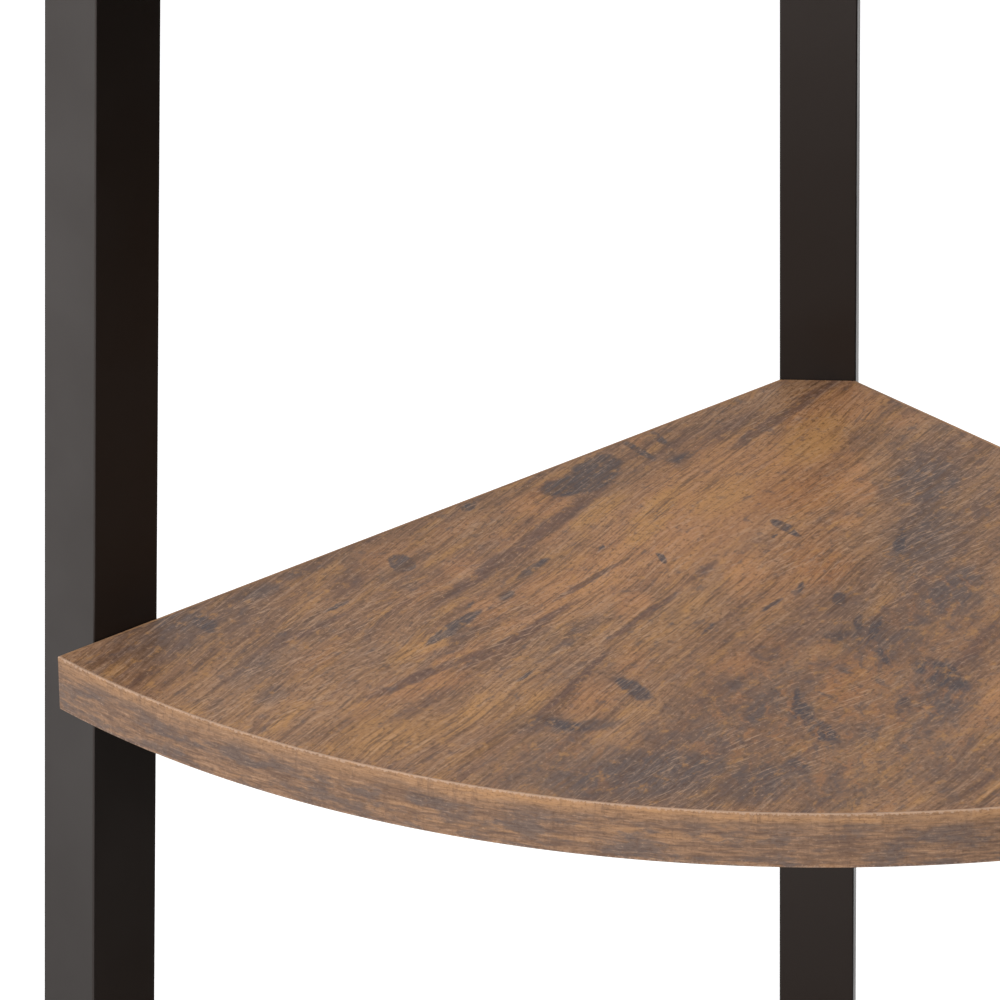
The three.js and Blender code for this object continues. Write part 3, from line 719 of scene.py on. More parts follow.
def edging_print():
    material, tree, skin = new_material("edging_print")
    place = tree("ShaderNodeAttribute", output="Vector", attribute_name="print_mm")
    depth = tree.split(place)["Y"]
    swayed = bent(tree, place, 9, 1.2)
    streaks = grain_noise(tree, swayed, 11, 1.1, 1.7, 5, 0.66)
    tone = tree.blend(tree.ranged(streaks, 0.36, 0.62), EDGE_DARK, EDGE_GROUND)
    bands = grain_noise(tree, swayed, 60, 4, 4.2, 4)
    high = tree.plus(tree.ranged(depth, 7, 0, 0, 0.9), tree.ranged(bands, 0.5, 0.68, 0, 0.6))
    tone = tinted(tree, tone, EDGE_GOLD, high, 0.7)

    # Grey smudges, mostly in the lower half
    smoke = grain_noise(tree, bent(tree, swayed, 3, 2), 15, 4.4, 7.3, 6, 0.68)
    low = tree.ranged(depth, 2, 8, 0.25, 1)
    tone = tinted(tree, tone, EDGE_SMOKE, tree.times(tree.ranged(smoke, 0.44, 0.6), low), 0.8)
    smears = grain_noise(tree, place, 2.6, 14, 5.5, 4, 0.66)
    tone = tinted(tree, tone, EDGE_DARK, tree.ranged(smears, 0.48, 0.32), 0.45)

    # Small bruises, at random but fixed places: the nearest points of a stretched cell pattern
    cell_length, cell_height = BRUISE_CELL_MM
    wandering = bent(tree, bent(tree, place, 9, 5), 3, 2)
    cells = tree.placed(wandering, (0.3, 0.2, 0), stretch=(1 / cell_length, 1 / cell_height, 1))
    feeds = {"Vector": cells, "Scale": 1.0, "Randomness": 1.0}
    bruises = tree.node("ShaderNodeTexVoronoi", feeds, voronoi_dimensions="2D").outputs
    reach = tree.ranged(tree.split(bruises["Color"])["X"], 0.35, 1, 0, 0.15)
    inside = tree.math("LESS_THAN", bruises["Distance"], reach)
    bruise = tree.times(inside, tree.ranged(streaks, 0.3, 0.55, 1, 0.4))
    tone = tinted(tree, tone, EDGE_MARK, bruise, 0.6)
    fibres = grain_noise(tree, swayed, 5, 0.55, 2.2, 5, 0.72)
    tone = two_toned(tree, tone, fibres, FIBRE_TONES, (0.5, 0.34, 0.48), (0.54, 0.7, 0.36))
    pores = sized_noise(tree, place, (4, 2, 0), 1.4, 1.2, 4, 0.75)
    tone = two_toned(tree, tone, pores, FIBRE_TONES, (0.48, 0.32, 0.5), (0.56, 0.72, 0.35))

    # The trimmed rims, pale and with a painted highlight in their colour: along the front's top, fainter
    # along the bottom and down the two tips
    teeth = sized_noise(tree, place, (0, 0, 6), 1.1, 3, 3, 0.6)
    width = tree.ranged(teeth, 0.38, 0.66, 0, 2 * RIM_WIDTH_MM)
    top = tree.math("LESS_THAN", depth, width)
    bottom = tree.math("GREATER_THAN", depth, tree.minus(BOARD_THICKNESS_MM, width))
    past_tip = tree("ShaderNodeAttribute", output="Fac", attribute_name="past_tip_mm")
    front = tree.math("LESS_THAN", past_tip, 0.0)
    tip = tree.math("LESS_THAN", tree.math("ABSOLUTE", past_tip), tree.times(width, 0.7))
    for rim, most in ((tree.times(bottom, front), 0.3), (tip, 0.3), (tree.times(top, front), 0.56)):
        tone = tinted(tree, tone, PALE_RIM_AND_HIGHLIGHT, rim, most)

    skin.inputs["Specular IOR Level"].default_value = PAPER_GLOSS
    dressed(tree, skin, tone, tree.ranged(streaks, 0.3, 0.7, 0.48, 0.6), fibres, 0.35, 0.05)
    return material


edging_finish = edging_print()
print("nodes in the edging's print:", len(edging_finish.node_tree.nodes))

# %% [markdown]
# ## The boards and their edging
#
# A board is a quarter disc with its rear corner cut off to meet the rear post. All its edges can
# be described by one rule: the outline drawn in by some inset. The board's core is that outline
# with an inset, and the strip lies between the outline itself and a slightly smaller one. So one
# node group answers "where is point number n of the outline?", and two trees use it: one fills the
# outline, and the other makes a ribbon from two outlines. Both are then given their thickness.

# %% A group that places the outline's points
QUARTER_TURN = math.pi / 2
ARC_POINTS = 97
MERGE_REACH = 1e-6


def outline_group():
    sizes = {WHOLE: ("Number", "Arc Points"), FLOAT: ("Inset", "Radius", "Rear Cut")}
    tree, given, ending = new_tree("outline_point", sizes, ("Place", VECTOR))
    number, count, inset, radius, cut = given.values()
    share = tree.math("DIVIDE", tree.minus(number, 1.0), tree.minus(count, 1.0))
    reach = tree.minus(radius, inset)
    start = tree.math("ARCSINE", tree.math("DIVIDE", inset, reach))
    sweep = tree.minus(QUARTER_TURN, tree.times(start, 2.0))
    angle = tree.math("MULTIPLY_ADD", share, sweep, start)
    x = tree.times(reach, tree.math("COSINE", angle))
    y = tree.times(reach, tree.math("SINE", angle))
    leg = tree.minus(cut, inset)
    first_corner, last_corner = tree.combine(leg, inset), tree.combine(inset, leg)
    before = tree.math("LESS_THAN", number, 1.0)
    after = tree.math("GREATER_THAN", number, count)
    place = tree("GeometryNodeSwitch", (after, tree.combine(x, y), last_corner), input_type="VECTOR")
    place = tree("GeometryNodeSwitch", (before, place, first_corner), input_type="VECTOR")
    tree.feed(ending, (place,))
    return tree


def slab_group():
    """Gives a flat sheet a thickness, downwards from a height, and closes it."""
    tree, given, ending = new_tree("slab", {GEOMETRY: ("Sheet",), FLOAT: ("Top", "Thickness")})
    sheet, top, thickness = given.values()
    floor = tree.combine(z=tree.minus(top, thickness))
    low = tree("GeometryNodeTransform", {"Geometry": sheet, "Translation": floor})
    feeds = {"Mesh": low, "Offset": (0, 0, 1), "Offset Scale": thickness, "Individual": False}
    raised = tree("GeometryNodeExtrudeMesh", feeds)
    both = tree.node("GeometryNodeJoinGeometry")
    for part in (raised, tree("GeometryNodeFlipFaces", (low,))):
        tree.feed(both, (part,))
    feeds = {"Geometry": both.outputs[0], "Distance": MERGE_REACH}
    tree.feed(ending, (tree("GeometryNodeMergeByDistance", feeds),))
    return tree


outline_point = outline_group()
slab = slab_group()
print("nodes:", len(outline_point.tree.nodes), "for the outline,", len(slab.tree.nodes), "for the slab")

# %% [markdown]
# The two trees work in the corner's own frame, with one wall along X and the other along Y, and
# turn the result by -135 degrees at the end. The board stores its print place from above, turned
# and shifted by a different amount for each tier, and the strip stores its way along and down.

# %% The board and strip trees
CORNER_TURN = -3 * math.pi / 4
PER_METRE = 1 / MM
CUT_POINTS = 2
RIBBON_ROWS = 2
SHEET_SIZES = ("Radius", "Thickness", "Top", "Rear Cut")


def to_world(tree, shape):
    feeds = {"Geometry": shape, "Translation": tuple(ROOM_CORNER), "Rotation": (0, 0, CORNER_TURN)}
    return tree("GeometryNodeTransform", feeds)


def stored(tree, shape, name, value, kind):
    feeds = {"Geometry": shape, "Name": name, "Value": value}
    return tree("GeometryNodeStoreNamedAttribute", feeds, data_type=kind, domain="POINT")


def outlined(tree, given, shape, number, inset):
    """Moves a flat mesh's points onto the outline and gives it the board's thickness."""
    feeds = {title: given[title] for title in ("Radius", "Rear Cut", "Arc Points")}
    place = use_group(tree, outline_point, {**feeds, "Number": number, "Inset": inset})
    sheet = tree("GeometryNodeSetPosition", {"Geometry": shape, "Position": place})
    feeds = {"Sheet": sheet, "Top": given["Top"], "Thickness": given["Thickness"]}
    return use_group(tree, slab, feeds)


def board_tree():
    tree, given, ending = new_tree("quarter_round_board", {
        FLOAT: (*SHEET_SIZES, "Inset", "Print Turn"),
        WHOLE: ("Arc Points",),
        VECTOR: ("Print Shift",),
        MATERIAL: ("Material",),
    })
    points = tree.plus(given["Arc Points"], CUT_POINTS)
    circle = tree("GeometryNodeMeshCircle", {"Vertices": points, "Radius": 1.0}, fill_type="NGON")
    solid = outlined(tree, given, circle, tree("GeometryNodeInputIndex"), given["Inset"])
    solid = to_world(tree, solid)
    x, y = tree.split(tree("GeometryNodeInputPosition"))[:2]
    right = tree.times(x, PER_METRE)
    forward = tree.times(tree.minus(ROOM_CORNER.y, y), PER_METRE)
    seen = {"Vector": tree.combine(right, forward), "Angle": given["Print Turn"]}
    turned = tree("ShaderNodeVectorRotate", seen, rotation_type="Z_AXIS")
    place = tree.vector("ADD", turned, given["Print Shift"])
    solid = stored(tree, solid, "print_mm", place, "FLOAT_VECTOR")
    finish_tree(tree, ending, solid, given["Material"])
    return tree


def strip_tree():
    tree, given, ending = new_tree("edging_strip", {
        FLOAT: (*SHEET_SIZES, "Strip", "Seed"),
        WHOLE: ("Arc Points",),
        MATERIAL: ("Material",),
    })
    points = tree.plus(given["Arc Points"], CUT_POINTS)
    ribbon = tree("GeometryNodeMeshGrid", {"Vertices X": points, "Vertices Y": RIBBON_ROWS})
    index = tree("GeometryNodeInputIndex")
    number = tree.math("FLOOR", tree.math("DIVIDE", index, RIBBON_ROWS))
    inset = tree.times(tree.math("FLOORED_MODULO", index, RIBBON_ROWS), given["Strip"])
    solid = outlined(tree, given, ribbon, number, inset)

    # The way along is measured from the middle of the front, past a tip and back along the wall.
    radius = given["Radius"]
    x, y, z = tree.split(tree("GeometryNodeInputPosition"))
    reach = tree.vector("LENGTH", tree.combine(x, y), output="Value")
    angle = tree.minus(tree.math("ARCTAN2", y, x), QUARTER_TURN / 2)
    round_way = tree.times(tree.math("ABSOLUTE", angle), radius)
    way = tree.times(tree.plus(round_way, tree.minus(radius, reach)), tree.math("SIGN", angle))
    past_tip = tree.minus(tree.math("ABSOLUTE", way), tree.times(radius, QUARTER_TURN / 2))
    place = tree.combine(way, tree.minus(given["Top"], z), given["Seed"])
    place = tree.vector("MULTIPLY", place, (PER_METRE, PER_METRE, 1))
    solid = stored(tree, solid, "print_mm", place, "FLOAT_VECTOR")
    solid = stored(tree, solid, "past_tip_mm", tree.times(past_tip, PER_METRE), "FLOAT")
    finish_tree(tree, ending, to_world(tree, solid), given["Material"])
    return tree


board_shape = board_tree()
strip_shape = strip_tree()
print("nodes:", len(board_shape.tree.nodes), "for a board,", len(strip_shape.tree.nodes), "for a strip")

# %% [markdown]
# Each board sits just inside its strip, with a hair's gap for the glue line. The bevels are small:
# about a seventh of a millimetre on the printed board and twice that on the soft plastic strip.

# %% Make the five boards with their strips
GLUE_LINE = 0.03 * MM
BOARD_BEVEL = 0.15 * MM
STRIP_BEVEL = 0.3 * MM
STRIP_BEVEL_STEPS = 3
PRINT_SHIFT_PER_TIER = 17.0

# How each tier's board was cut from the printed sheet: its turn in degrees, and its shift to the
# right and forward in millimetres
CUTS = {1: (38, 60, 90), 2: (0, 0, 0), 3: (-22, -30, 70), 4: (16, -95, -40), 5: (-48, 70, 40)}

for tier in tiers:
    turned, right, forward = CUTS[tier.number]
    layer = tier.number * PRINT_SHIFT_PER_TIER
    sizes = {
        "Radius": tier.radius,
        "Thickness": tier.thickness,
        "Top": tier.top,
        "Rear Cut": REAR_CUT,
        "Arc Points": ARC_POINTS,
        "Inset": EDGING_THICKNESS + GLUE_LINE,
        "Strip": EDGING_THICKNESS,
        "Print Turn": math.radians(turned),
        "Print Shift": (right, forward, layer),
        "Seed": layer,
        "Material": print_finish,
    }
    board = made_by(f"shelf_{tier.number}_printed_board", board_shape, sizes, BOARD_BEVEL)
    kept(smooth(board), "frame", "wood_print", f"shelf_{tier.number}_board")
    sizes["Material"] = edging_finish
    strip = made_by(f"shelf_{tier.number}_edging_strip", strip_shape, sizes, STRIP_BEVEL, STRIP_BEVEL_STEPS)
    kept(smooth(strip), "frame", "wood_print_edging", f"shelf_{tier.number}_edging")

# %% [markdown]
# ## The powder coat
#
# The posts are steel under a satin powder coat, nearly black with a breath of brown. Such a coat
# is baked from fine powder, so up close it has a faint orange-peel relief and tiny specks. Most of
# what an eye sees of it is reflection, so its roughness matters more than its colour.

# %% Build the coat
COAT = colour(15, 13, 12)
COAT_SPECK = colour(26, 22, 20)
COAT_REFLECTION = 0.51
COAT_GLOSS = (1.0, 0.86, 0.8, 1)
SPECK_SIZE_MM = 1 / 2.4
CLOUD_SIZE_MM = 45
PEEL_SIZE_MM = 1.1


def in_millimetres(tree):
    return tree.placed(tree("ShaderNodeTexCoord", output="Object"), stretch=(PER_METRE,) * 3)


def even_noise(tree, place, size, detail, roughness, move=(0, 0, 0)):
    """Noise whose features have this size every way, in millimetres."""
    return tree.noise(tree.placed(place, move, stretch=(1 / size,) * 3), detail, roughness)


def powder_coat():
    material, tree, skin = new_material("powder_coat")
    place = in_millimetres(tree)
    specks = even_noise(tree, place, SPECK_SIZE_MM, 3, 0.7)
    clouds = even_noise(tree, place, CLOUD_SIZE_MM, 3, 0.5, (40, 2, 7))
    tone = tree.blend(tree.ranged(specks, 0.55, 0.78), COAT, COAT_SPECK)
    peel = even_noise(tree, place, PEEL_SIZE_MM, 2, 0.5, (1, 5, 3))
    skin.inputs["Specular IOR Level"].default_value = COAT_REFLECTION
    skin.inputs["Specular Tint"].default_value = COAT_GLOSS
    relief = tree.plus(peel, tree.times(specks, 0.4))
    dressed(tree, skin, tone, tree.ranged(clouds, 0.3, 0.7, 0.4, 0.5), relief, 0.25, 0.04)
    return material


coat_finish = powder_coat()
print("nodes in the coat:", len(coat_finish.node_tree.nodes))

# %% [markdown]
# ## The posts
#
# Each post is a welded square tube with a thin wall, cut level at both ends and drilled through for
# its bolts. A box would do for a distant view, but a tube that is really hollow, with a small
# radius along its corners, is what catches the thin line of light. The rule is simple: draw a
# square, round its corners, fill it, pull it up, take the bore away, lean the tube and drill it. So
# one tree makes all three posts. The side posts lean along their wall, and their section, cut
# level, is longer along the lean by a factor that the cosine gives.

# %% Places of the posts
LEAN_STRETCH = math.sqrt(1 + LEAN ** 2)
TIP_OVERHANG = 14.5 * MM
SIDE_FOOT = tiers[0].radius + LEAN * tiers[0].top - TIP_OVERHANG - LEAN_STRETCH * TUBE_WIDTH / 2
HALF_BOARD = tiers[0].thickness / 2
TIER_SPACING = tiers[1].top - tiers[0].top

PostPlace = namedtuple("PostPlace", "origin turn outward foot lean")
PLACES = {
    "rear": PostPlace(ROOM_CORNER - Vector((0, TUBE_WIDTH / 2, 0)), 0.0, 1, 0.0, 0.0),
    "left": PostPlace(ROOM_CORNER, CORNER_TURN, -1, SIDE_FOOT, LEAN),
    "right": PostPlace(ROOM_CORNER, CORNER_TURN + QUARTER_TURN, 1, SIDE_FOOT, LEAN),
}


def placed_on(post, point, height=None):
    """Takes a point from a post's own frame to the world. With no height given, it follows the lean."""
    x, y, z = point
    level = z if height is None else height
    middle = Vector((post.foot - post.lean * level + x, post.outward * (SEAT_GAP + TUBE_WIDTH / 2) + y, z))
    return post.origin + Matrix.Rotation(post.turn, 3, "Z") @ middle


for name, post in PLACES.items():
    print(name, "post stands at", [round(value / MM, 1) for value in placed_on(post, (0, 0, 0))])

# %% Trees for a square bar and a drilled tube
CORNER_STEPS = 6
HOLE_SIDES = 48
BOLT_RADIUS = 3 * MM
HOLE_CLEARANCE = 0.3 * MM


def bar_group():
    """An upright square bar with rounded corners."""
    sizes = {FLOAT: ("Width", "Depth", "Corner Radius", "Bottom", "Top")}
    tree, given, ending = new_tree("square_bar", sizes)
    width, depth, radius, bottom, top = given.values()
    square = tree("GeometryNodeCurvePrimitiveQuadrilateral", {"Width": width, "Height": depth})
    feeds = {"Curve": square, "Count": CORNER_STEPS, "Radius": radius}
    rounded_outline = tree("GeometryNodeFilletCurve", feeds, mode="POLY")
    sheet = tree("GeometryNodeFillCurve", {"Curve": rounded_outline}, mode="NGONS")
    feeds = {"Sheet": sheet, "Top": top, "Thickness": tree.minus(top, bottom)}
    tree.feed(ending, (use_group(tree, slab, feeds),))
    return tree


def cut_away(tree, solid, tool):
    feeds = {"Mesh 1": solid, "Mesh 2": tool}
    return tree("GeometryNodeMeshBoolean", feeds, operation="DIFFERENCE", solver="EXACT")


def drilled_tube_tree():
    tree, given, ending = new_tree("drilled_tube", {
        FLOAT: (
            "Width", "Wall", "Corner Radius", "Bottom", "Top", "Foot", "Sideways", "Lean",
            "Hole Radius", "Lowest Hole", "Hole Spacing", "Turn",
        ),
        WHOLE: ("Holes",),
        VECTOR: ("Origin",),
        MATERIAL: ("Material",),
    })
    width, wall, lean = given["Width"], given["Wall"], given["Lean"]
    bottom, top = given["Bottom"], given["Top"]
    stretch = tree.math("SQRT", tree.math("MULTIPLY_ADD", lean, lean, 1.0))

    def bar(depth, radius, low, high):
        feeds = {"Width": tree.times(depth, stretch), "Depth": depth, "Corner Radius": radius}
        return use_group(tree, bar_shape, {**feeds, "Bottom": low, "Top": high})

    def shifted(shape):
        """Leans a shape: each point moves by an amount that depends on its height."""
        height = tree.split(tree("GeometryNodeInputPosition"))["Z"]
        forward = tree.minus(given["Foot"], tree.times(lean, height))
        feeds = {"Geometry": shape, "Offset": tree.combine(forward, given["Sideways"])}
        return tree("GeometryNodeSetPosition", feeds)

    outside = bar(width, given["Corner Radius"], bottom, top)
    bore = tree.minus(width, tree.times(wall, 2.0))
    below, above = tree.minus(bottom, width), tree.plus(top, width)
    tube = cut_away(tree, outside, bar(bore, tree.math("DIVIDE", wall, 3.0), below, above))
    feeds = {
        "Count": given["Holes"],
        "Start Location": tree.combine(z=given["Lowest Hole"]),
        "Offset": tree.combine(z=given["Hole Spacing"]),
    }
    line = shifted(tree("GeometryNodeMeshLine", feeds))
    feeds = {"Vertices": HOLE_SIDES, "Radius": given["Hole Radius"], "Depth": tree.times(width, 2.0)}
    drill = tree("GeometryNodeMeshCylinder", feeds)
    feeds = {"Points": line, "Instance": drill, "Rotation": (QUARTER_TURN, 0, 0)}
    drills = tree("GeometryNodeRealizeInstances", (tree("GeometryNodeInstanceOnPoints", feeds),))
    drilled = cut_away(tree, shifted(tube), drills)
    turn = tree.combine(z=given["Turn"])
    feeds = {"Geometry": drilled, "Translation": given["Origin"], "Rotation": turn}
    finish_tree(tree, ending, tree("GeometryNodeTransform", feeds), given["Material"])
    return tree


bar_shape = bar_group()
tube_shape = drilled_tube_tree()
print("nodes in the tube's tree:", len(tube_shape.tree.nodes))

# %% Make the three posts
TUBE_BEVEL = 0.2 * MM

for name, post in PLACES.items():
    sizes = {
        "Width": TUBE_WIDTH,
        "Wall": TUBE_WALL,
        "Corner Radius": TUBE_CORNER_RADIUS,
        "Bottom": POST_BOTTOM,
        "Top": POST_TOP,
        "Foot": post.foot,
        "Sideways": post.outward * (SEAT_GAP + TUBE_WIDTH / 2),
        "Lean": post.lean,
        "Hole Radius": BOLT_RADIUS + HOLE_CLEARANCE,
        "Lowest Hole": tiers[0].top - HALF_BOARD,
        "Hole Spacing": TIER_SPACING,
        "Holes": TIER_COUNT,
        "Origin": post.origin,
        "Turn": post.turn,
        "Material": coat_finish,
    }
    tube = made_by(f"{name}_steel_tube", tube_shape, sizes, TUBE_BEVEL)
    kept(smooth(tube), "frame", "powder_coated_steel", f"{name}_post")

# %% [markdown]
# ## Moulded plastic, zinc, brass and black oxide
#
# The small parts share one recipe: a tone with flecks, gloss in soft clouds, and a fine grain. The
# moulded black plastic is matte with a spark-eroded grain, which is coarser and greyer on the feet.
# Zinc plate on the brackets is pale, with cloudy patches that are slightly warmer. The inserts,
# hidden in the boards' edges, are brass, and the bolts are blackened steel with an oily sheen.

# %% Build the small parts' finishes
def grained(name, tone, fleck, gloss, metallic=0.0, relief=0.25, grain_size=0.35, cloud_size=7):
    """A finish with flecks of a second tone, uneven gloss and a fine grain. The two numbers of
    the gloss are its lowest and its highest roughness, and sizes are in millimetres."""
    material, tree, skin = new_material(name)
    place = in_millimetres(tree)
    grain = even_noise(tree, place, grain_size, 3, 0.6)
    cloud = even_noise(tree, place, cloud_size, 4, 0.6, (5, 3, 8))
    blended = tree.blend(tree.ranged(cloud, 0.38, 0.66), colour(*tone), colour(*fleck))
    blended = tree.blend(tree.ranged(grain, 0.56, 0.7, 0, 0.4), blended, colour(*fleck))
    skin.inputs["Metallic"].default_value = metallic
    dressed(tree, skin, blended, tree.ranged(cloud, 0.3, 0.7, *gloss), grain, relief, 0.05)
    return material


plastic_finish = grained("black_plastic", (27, 26, 25), (38, 37, 36), (0.55, 0.68))
foot_finish = grained("foot_plastic", (30, 29, 28), (44, 43, 41), (0.6, 0.75), grain_size=0.5)
oxide_finish = grained("black_oxide", (40, 38, 37), (58, 55, 52), (0.32, 0.45), 0.9, 0.15)
brass_finish = grained("brass", (196, 158, 92), (170, 132, 74), (0.3, 0.42), 1.0, 0.1)
zinc_tones = (184, 186, 185), (198, 196, 188)
zinc_finish = grained("zinc_plate", *zinc_tones, (0.3, 0.42), 1.0, 0.12, cloud_size=20)
print("nodes in a small part's finish:", len(zinc_finish.node_tree.nodes))

# %% [markdown]
# ## Skinning rings
#
# Caps, sockets, feet and bolts are moulded or turned. Each can be described by a stack of rings, one
# after the other along its outside: round, square with rounded corners, or hexagonal, and all with
# the same number of points. Skinning the rings gives a clean closed shape. Where the shape has a
# hole right through it, the last ring joins the first again.

# %% Rings and their skin
RING_POINTS = 48
CORNER_POINTS = RING_POINTS // 4
HEXAGON_SIDES = 6
FULL_TURN = 2 * math.pi


def ring(reach, height):
    """Points round the middle. Reach is a function: the distance at each angle."""
    angles = [FULL_TURN * number / RING_POINTS for number in range(RING_POINTS)]
    return [(reach(a) * math.cos(a), reach(a) * math.sin(a), height) for a in angles]


def circle(radius, height):
    return ring(lambda angle: radius, height)


def hexagon(to_corner, height):
    """The distance to a flat side grows towards the corners on either side of it."""
    side = FULL_TURN / HEXAGON_SIDES
    to_side = to_corner * math.cos(side / 2)
    return ring(lambda angle: to_side / math.cos(angle % side - side / 2), height)


def rounded_square(width, radius, height, stretch=1.0):
    middle = width / 2 - radius
    points = []
    for corner, (side, front) in enumerate(((1, 1), (-1, 1), (-1, -1), (1, -1))):
        for step in range(CORNER_POINTS):
            angle = QUARTER_TURN * (corner + step / (CORNER_POINTS - 1))
            x = side * middle + radius * math.cos(angle)
            y = front * middle + radius * math.sin(angle)
            points.append((x * stretch, y, height))
    return points


def skinned(name, rings, joined=False):
    """A closed mesh through a stack of rings. Its ends are filled, or joined to each other."""
    mesh = bpy.data.meshes.new(name)
    last = len(rings) * RING_POINTS
    faces = []
    for row in range(len(rings) - (0 if joined else 1)):
        low, high = row * RING_POINTS, (row + 1) * RING_POINTS % last
        for here in range(RING_POINTS):
            there = (here + 1) % RING_POINTS
            faces.append((low + here, low + there, high + there, high + here))
    if not joined:
        faces.append(tuple(reversed(range(RING_POINTS))))
        faces.append(tuple(range(last - RING_POINTS, last)))
    mesh.from_pydata([point for ring in rings for point in ring], [], faces)
    return in_scene(name, mesh)


def finished(piece, finish, bevel=0.0, steps=2):
    """Checks that the faces point outwards, rounds the edges and gives the finish."""
    shape = bmesh.new()
    shape.from_mesh(piece.data)
    if shape.calc_volume(signed=True) < 0:
        bmesh.ops.reverse_faces(shape, faces=shape.faces)
    shape.to_mesh(piece.data)
    shape.free()
    piece.data.materials.append(finish)
    return smooth(rounded(piece, bevel, steps))

# %% [markdown]
# ## Caps and sockets
#
# A plastic cap closes each post's top. Its lid covers the tube's wall and its stub grips the bore,
# with a taper at the end so that it starts easily. The socket at the lower end is the same thing
# upside down, with a round bore for the foot's screw. Both follow the post's lean.

# %% Make the caps and sockets
CAP_THICKNESS = 2 * MM
CAP_DEPTH = 16 * MM
CAP_BEVEL = 0.15 * MM
SOCKET_FLANGE = 3 * MM
SOCKET_DEPTH = 26 * MM
SOCKET_BEVEL = 0.2 * MM
STUB_WIDTH = TUBE_INSIDE - 2 * SEAT_GAP
STUB_RADIUS = TUBE_WALL / 3
STUB_TAPER = 0.8 * MM
TAPER_LENGTH = 3 * STUB_TAPER
STEM_RADIUS = 4 * MM
STEM_CLEARANCE = 0.1 * MM
BORE_RADIUS = STEM_RADIUS + STEM_CLEARANCE
LID_ROUND = 0.7 * MM

# The lid's rounded rim: how much narrower and how far below the top, with its rounding as the unit
LID_CURVE = ((0, 1), (0.3, 0.45), (1, 0.12), (2, 0))

CAP_SEAT = POST_TOP + SEAT_GAP
LID_TOP = CAP_SEAT + CAP_THICKNESS
FOOT_HEIGHT = POST_BOTTOM - 2 * SEAT_GAP - SOCKET_FLANGE
UNDERSIDE = FOOT_HEIGHT + SEAT_GAP
FLANGE_TOP = UNDERSIDE + SOCKET_FLANGE
SOCKET_TOP = POST_BOTTOM + SOCKET_DEPTH


def leaned(piece, post, upright=()):
    """Moves a piece made in a post's frame to its place. The rings named as upright don't lean."""
    for vertex in piece.data.vertices:
        height = UNDERSIDE if vertex.index // RING_POINTS in upright else None
        vertex.co = placed_on(post, vertex.co, height)
    return piece


for name, post in PLACES.items():
    stretch = math.sqrt(1 + post.lean ** 2)

    def stub(height, taper=0.0):
        return rounded_square(STUB_WIDTH - 2 * taper, STUB_RADIUS, height, stretch)

    def square(height, narrower=0.0):
        return rounded_square(TUBE_WIDTH - narrower, TUBE_CORNER_RADIUS, height, stretch)

    stub_end = POST_TOP - CAP_DEPTH
    rings = [stub(stub_end, STUB_TAPER), stub(stub_end + TAPER_LENGTH), stub(CAP_SEAT), square(CAP_SEAT)]
    rings += [square(LID_TOP - LID_ROUND * below, LID_ROUND * narrower) for narrower, below in LID_CURVE]
    cap = leaned(skinned(f"{name}_moulded_cap", rings), post)
    kept(finished(cap, plastic_finish, CAP_BEVEL), "frame", "black_plastic", f"{name}_post_cap")

    rings = [circle(BORE_RADIUS, UNDERSIDE), square(UNDERSIDE), square(FLANGE_TOP), stub(FLANGE_TOP)]
    rings += [stub(SOCKET_TOP - TAPER_LENGTH), stub(SOCKET_TOP, STUB_TAPER)]
    rings.append(circle(BORE_RADIUS, SOCKET_TOP))
    socket = leaned(skinned(f"{name}_moulded_socket", rings, True), post, (0, len(rings) - 1))
    kept(finished(socket, plastic_finish, SOCKET_BEVEL), "frame", "black_plastic", f"{name}_foot_socket")

# %% [markdown]
# ## Levelling feet
#
# A levelling foot is moulded in one: a pad with a rounded rim, a hexagon for a wrench, and a coarse
# screw that goes up into the socket. The screw is a real helix. On a thread, the distance from the
# middle rises and falls once per pitch, and the whole wave climbs by one pitch per turn. So rings
# of points can follow it: each point's radius depends on its height and on its angle together.

# %% Make the feet
STEM_LENGTH = 24 * MM
STEM_TIP_RADIUS = 2.7 * MM
THREAD_PITCH = 1.25 * MM
THREAD_DEPTH = 0.65 * MM
THREAD_STEPS = 8
FLANK_STEEPNESS = 1.25
THREAD_START = FOOT_HEIGHT + 0.4 * MM
THREAD_END = FOOT_HEIGHT + STEM_LENGTH
TIP_LENGTH = 0.6 * MM
HEX_RADIUS = 7.5 * MM
HEX_CHAMFER = 0.7 * MM
HEX_CHAMFER_HEIGHT = 0.5 * MM
PAD_HEIGHT = 5 * MM

# The pad's outline in millimetres, radius and height: from the hollow sole over the rim to the top
PAD_OUTLINE = (
    (9.9, 0.35), (10.3, 0), (11.7, 0), (12.26, 0.24), (12.5, 0.8), (11.75, 3.1), (11, 4.3),
    (10.3, 4.85), (9.6, 5),
)


def threaded_ring(height):
    """One ring of the screw. The thread fades in and out near its ends."""
    fade = min(1.0, (height - THREAD_START) / THREAD_PITCH, (THREAD_END - height) / THREAD_PITCH)

    def reach(angle):
        turns = height / THREAD_PITCH - angle / FULL_TURN
        wave = abs(2 * (turns % 1.0) - 1)
        flank = min(1.0, max(0.0, (wave - 0.5) * FLANK_STEEPNESS + 0.5))
        return STEM_RADIUS - THREAD_DEPTH * (1 - flank * max(fade, 0.0))

    return ring(reach, height)


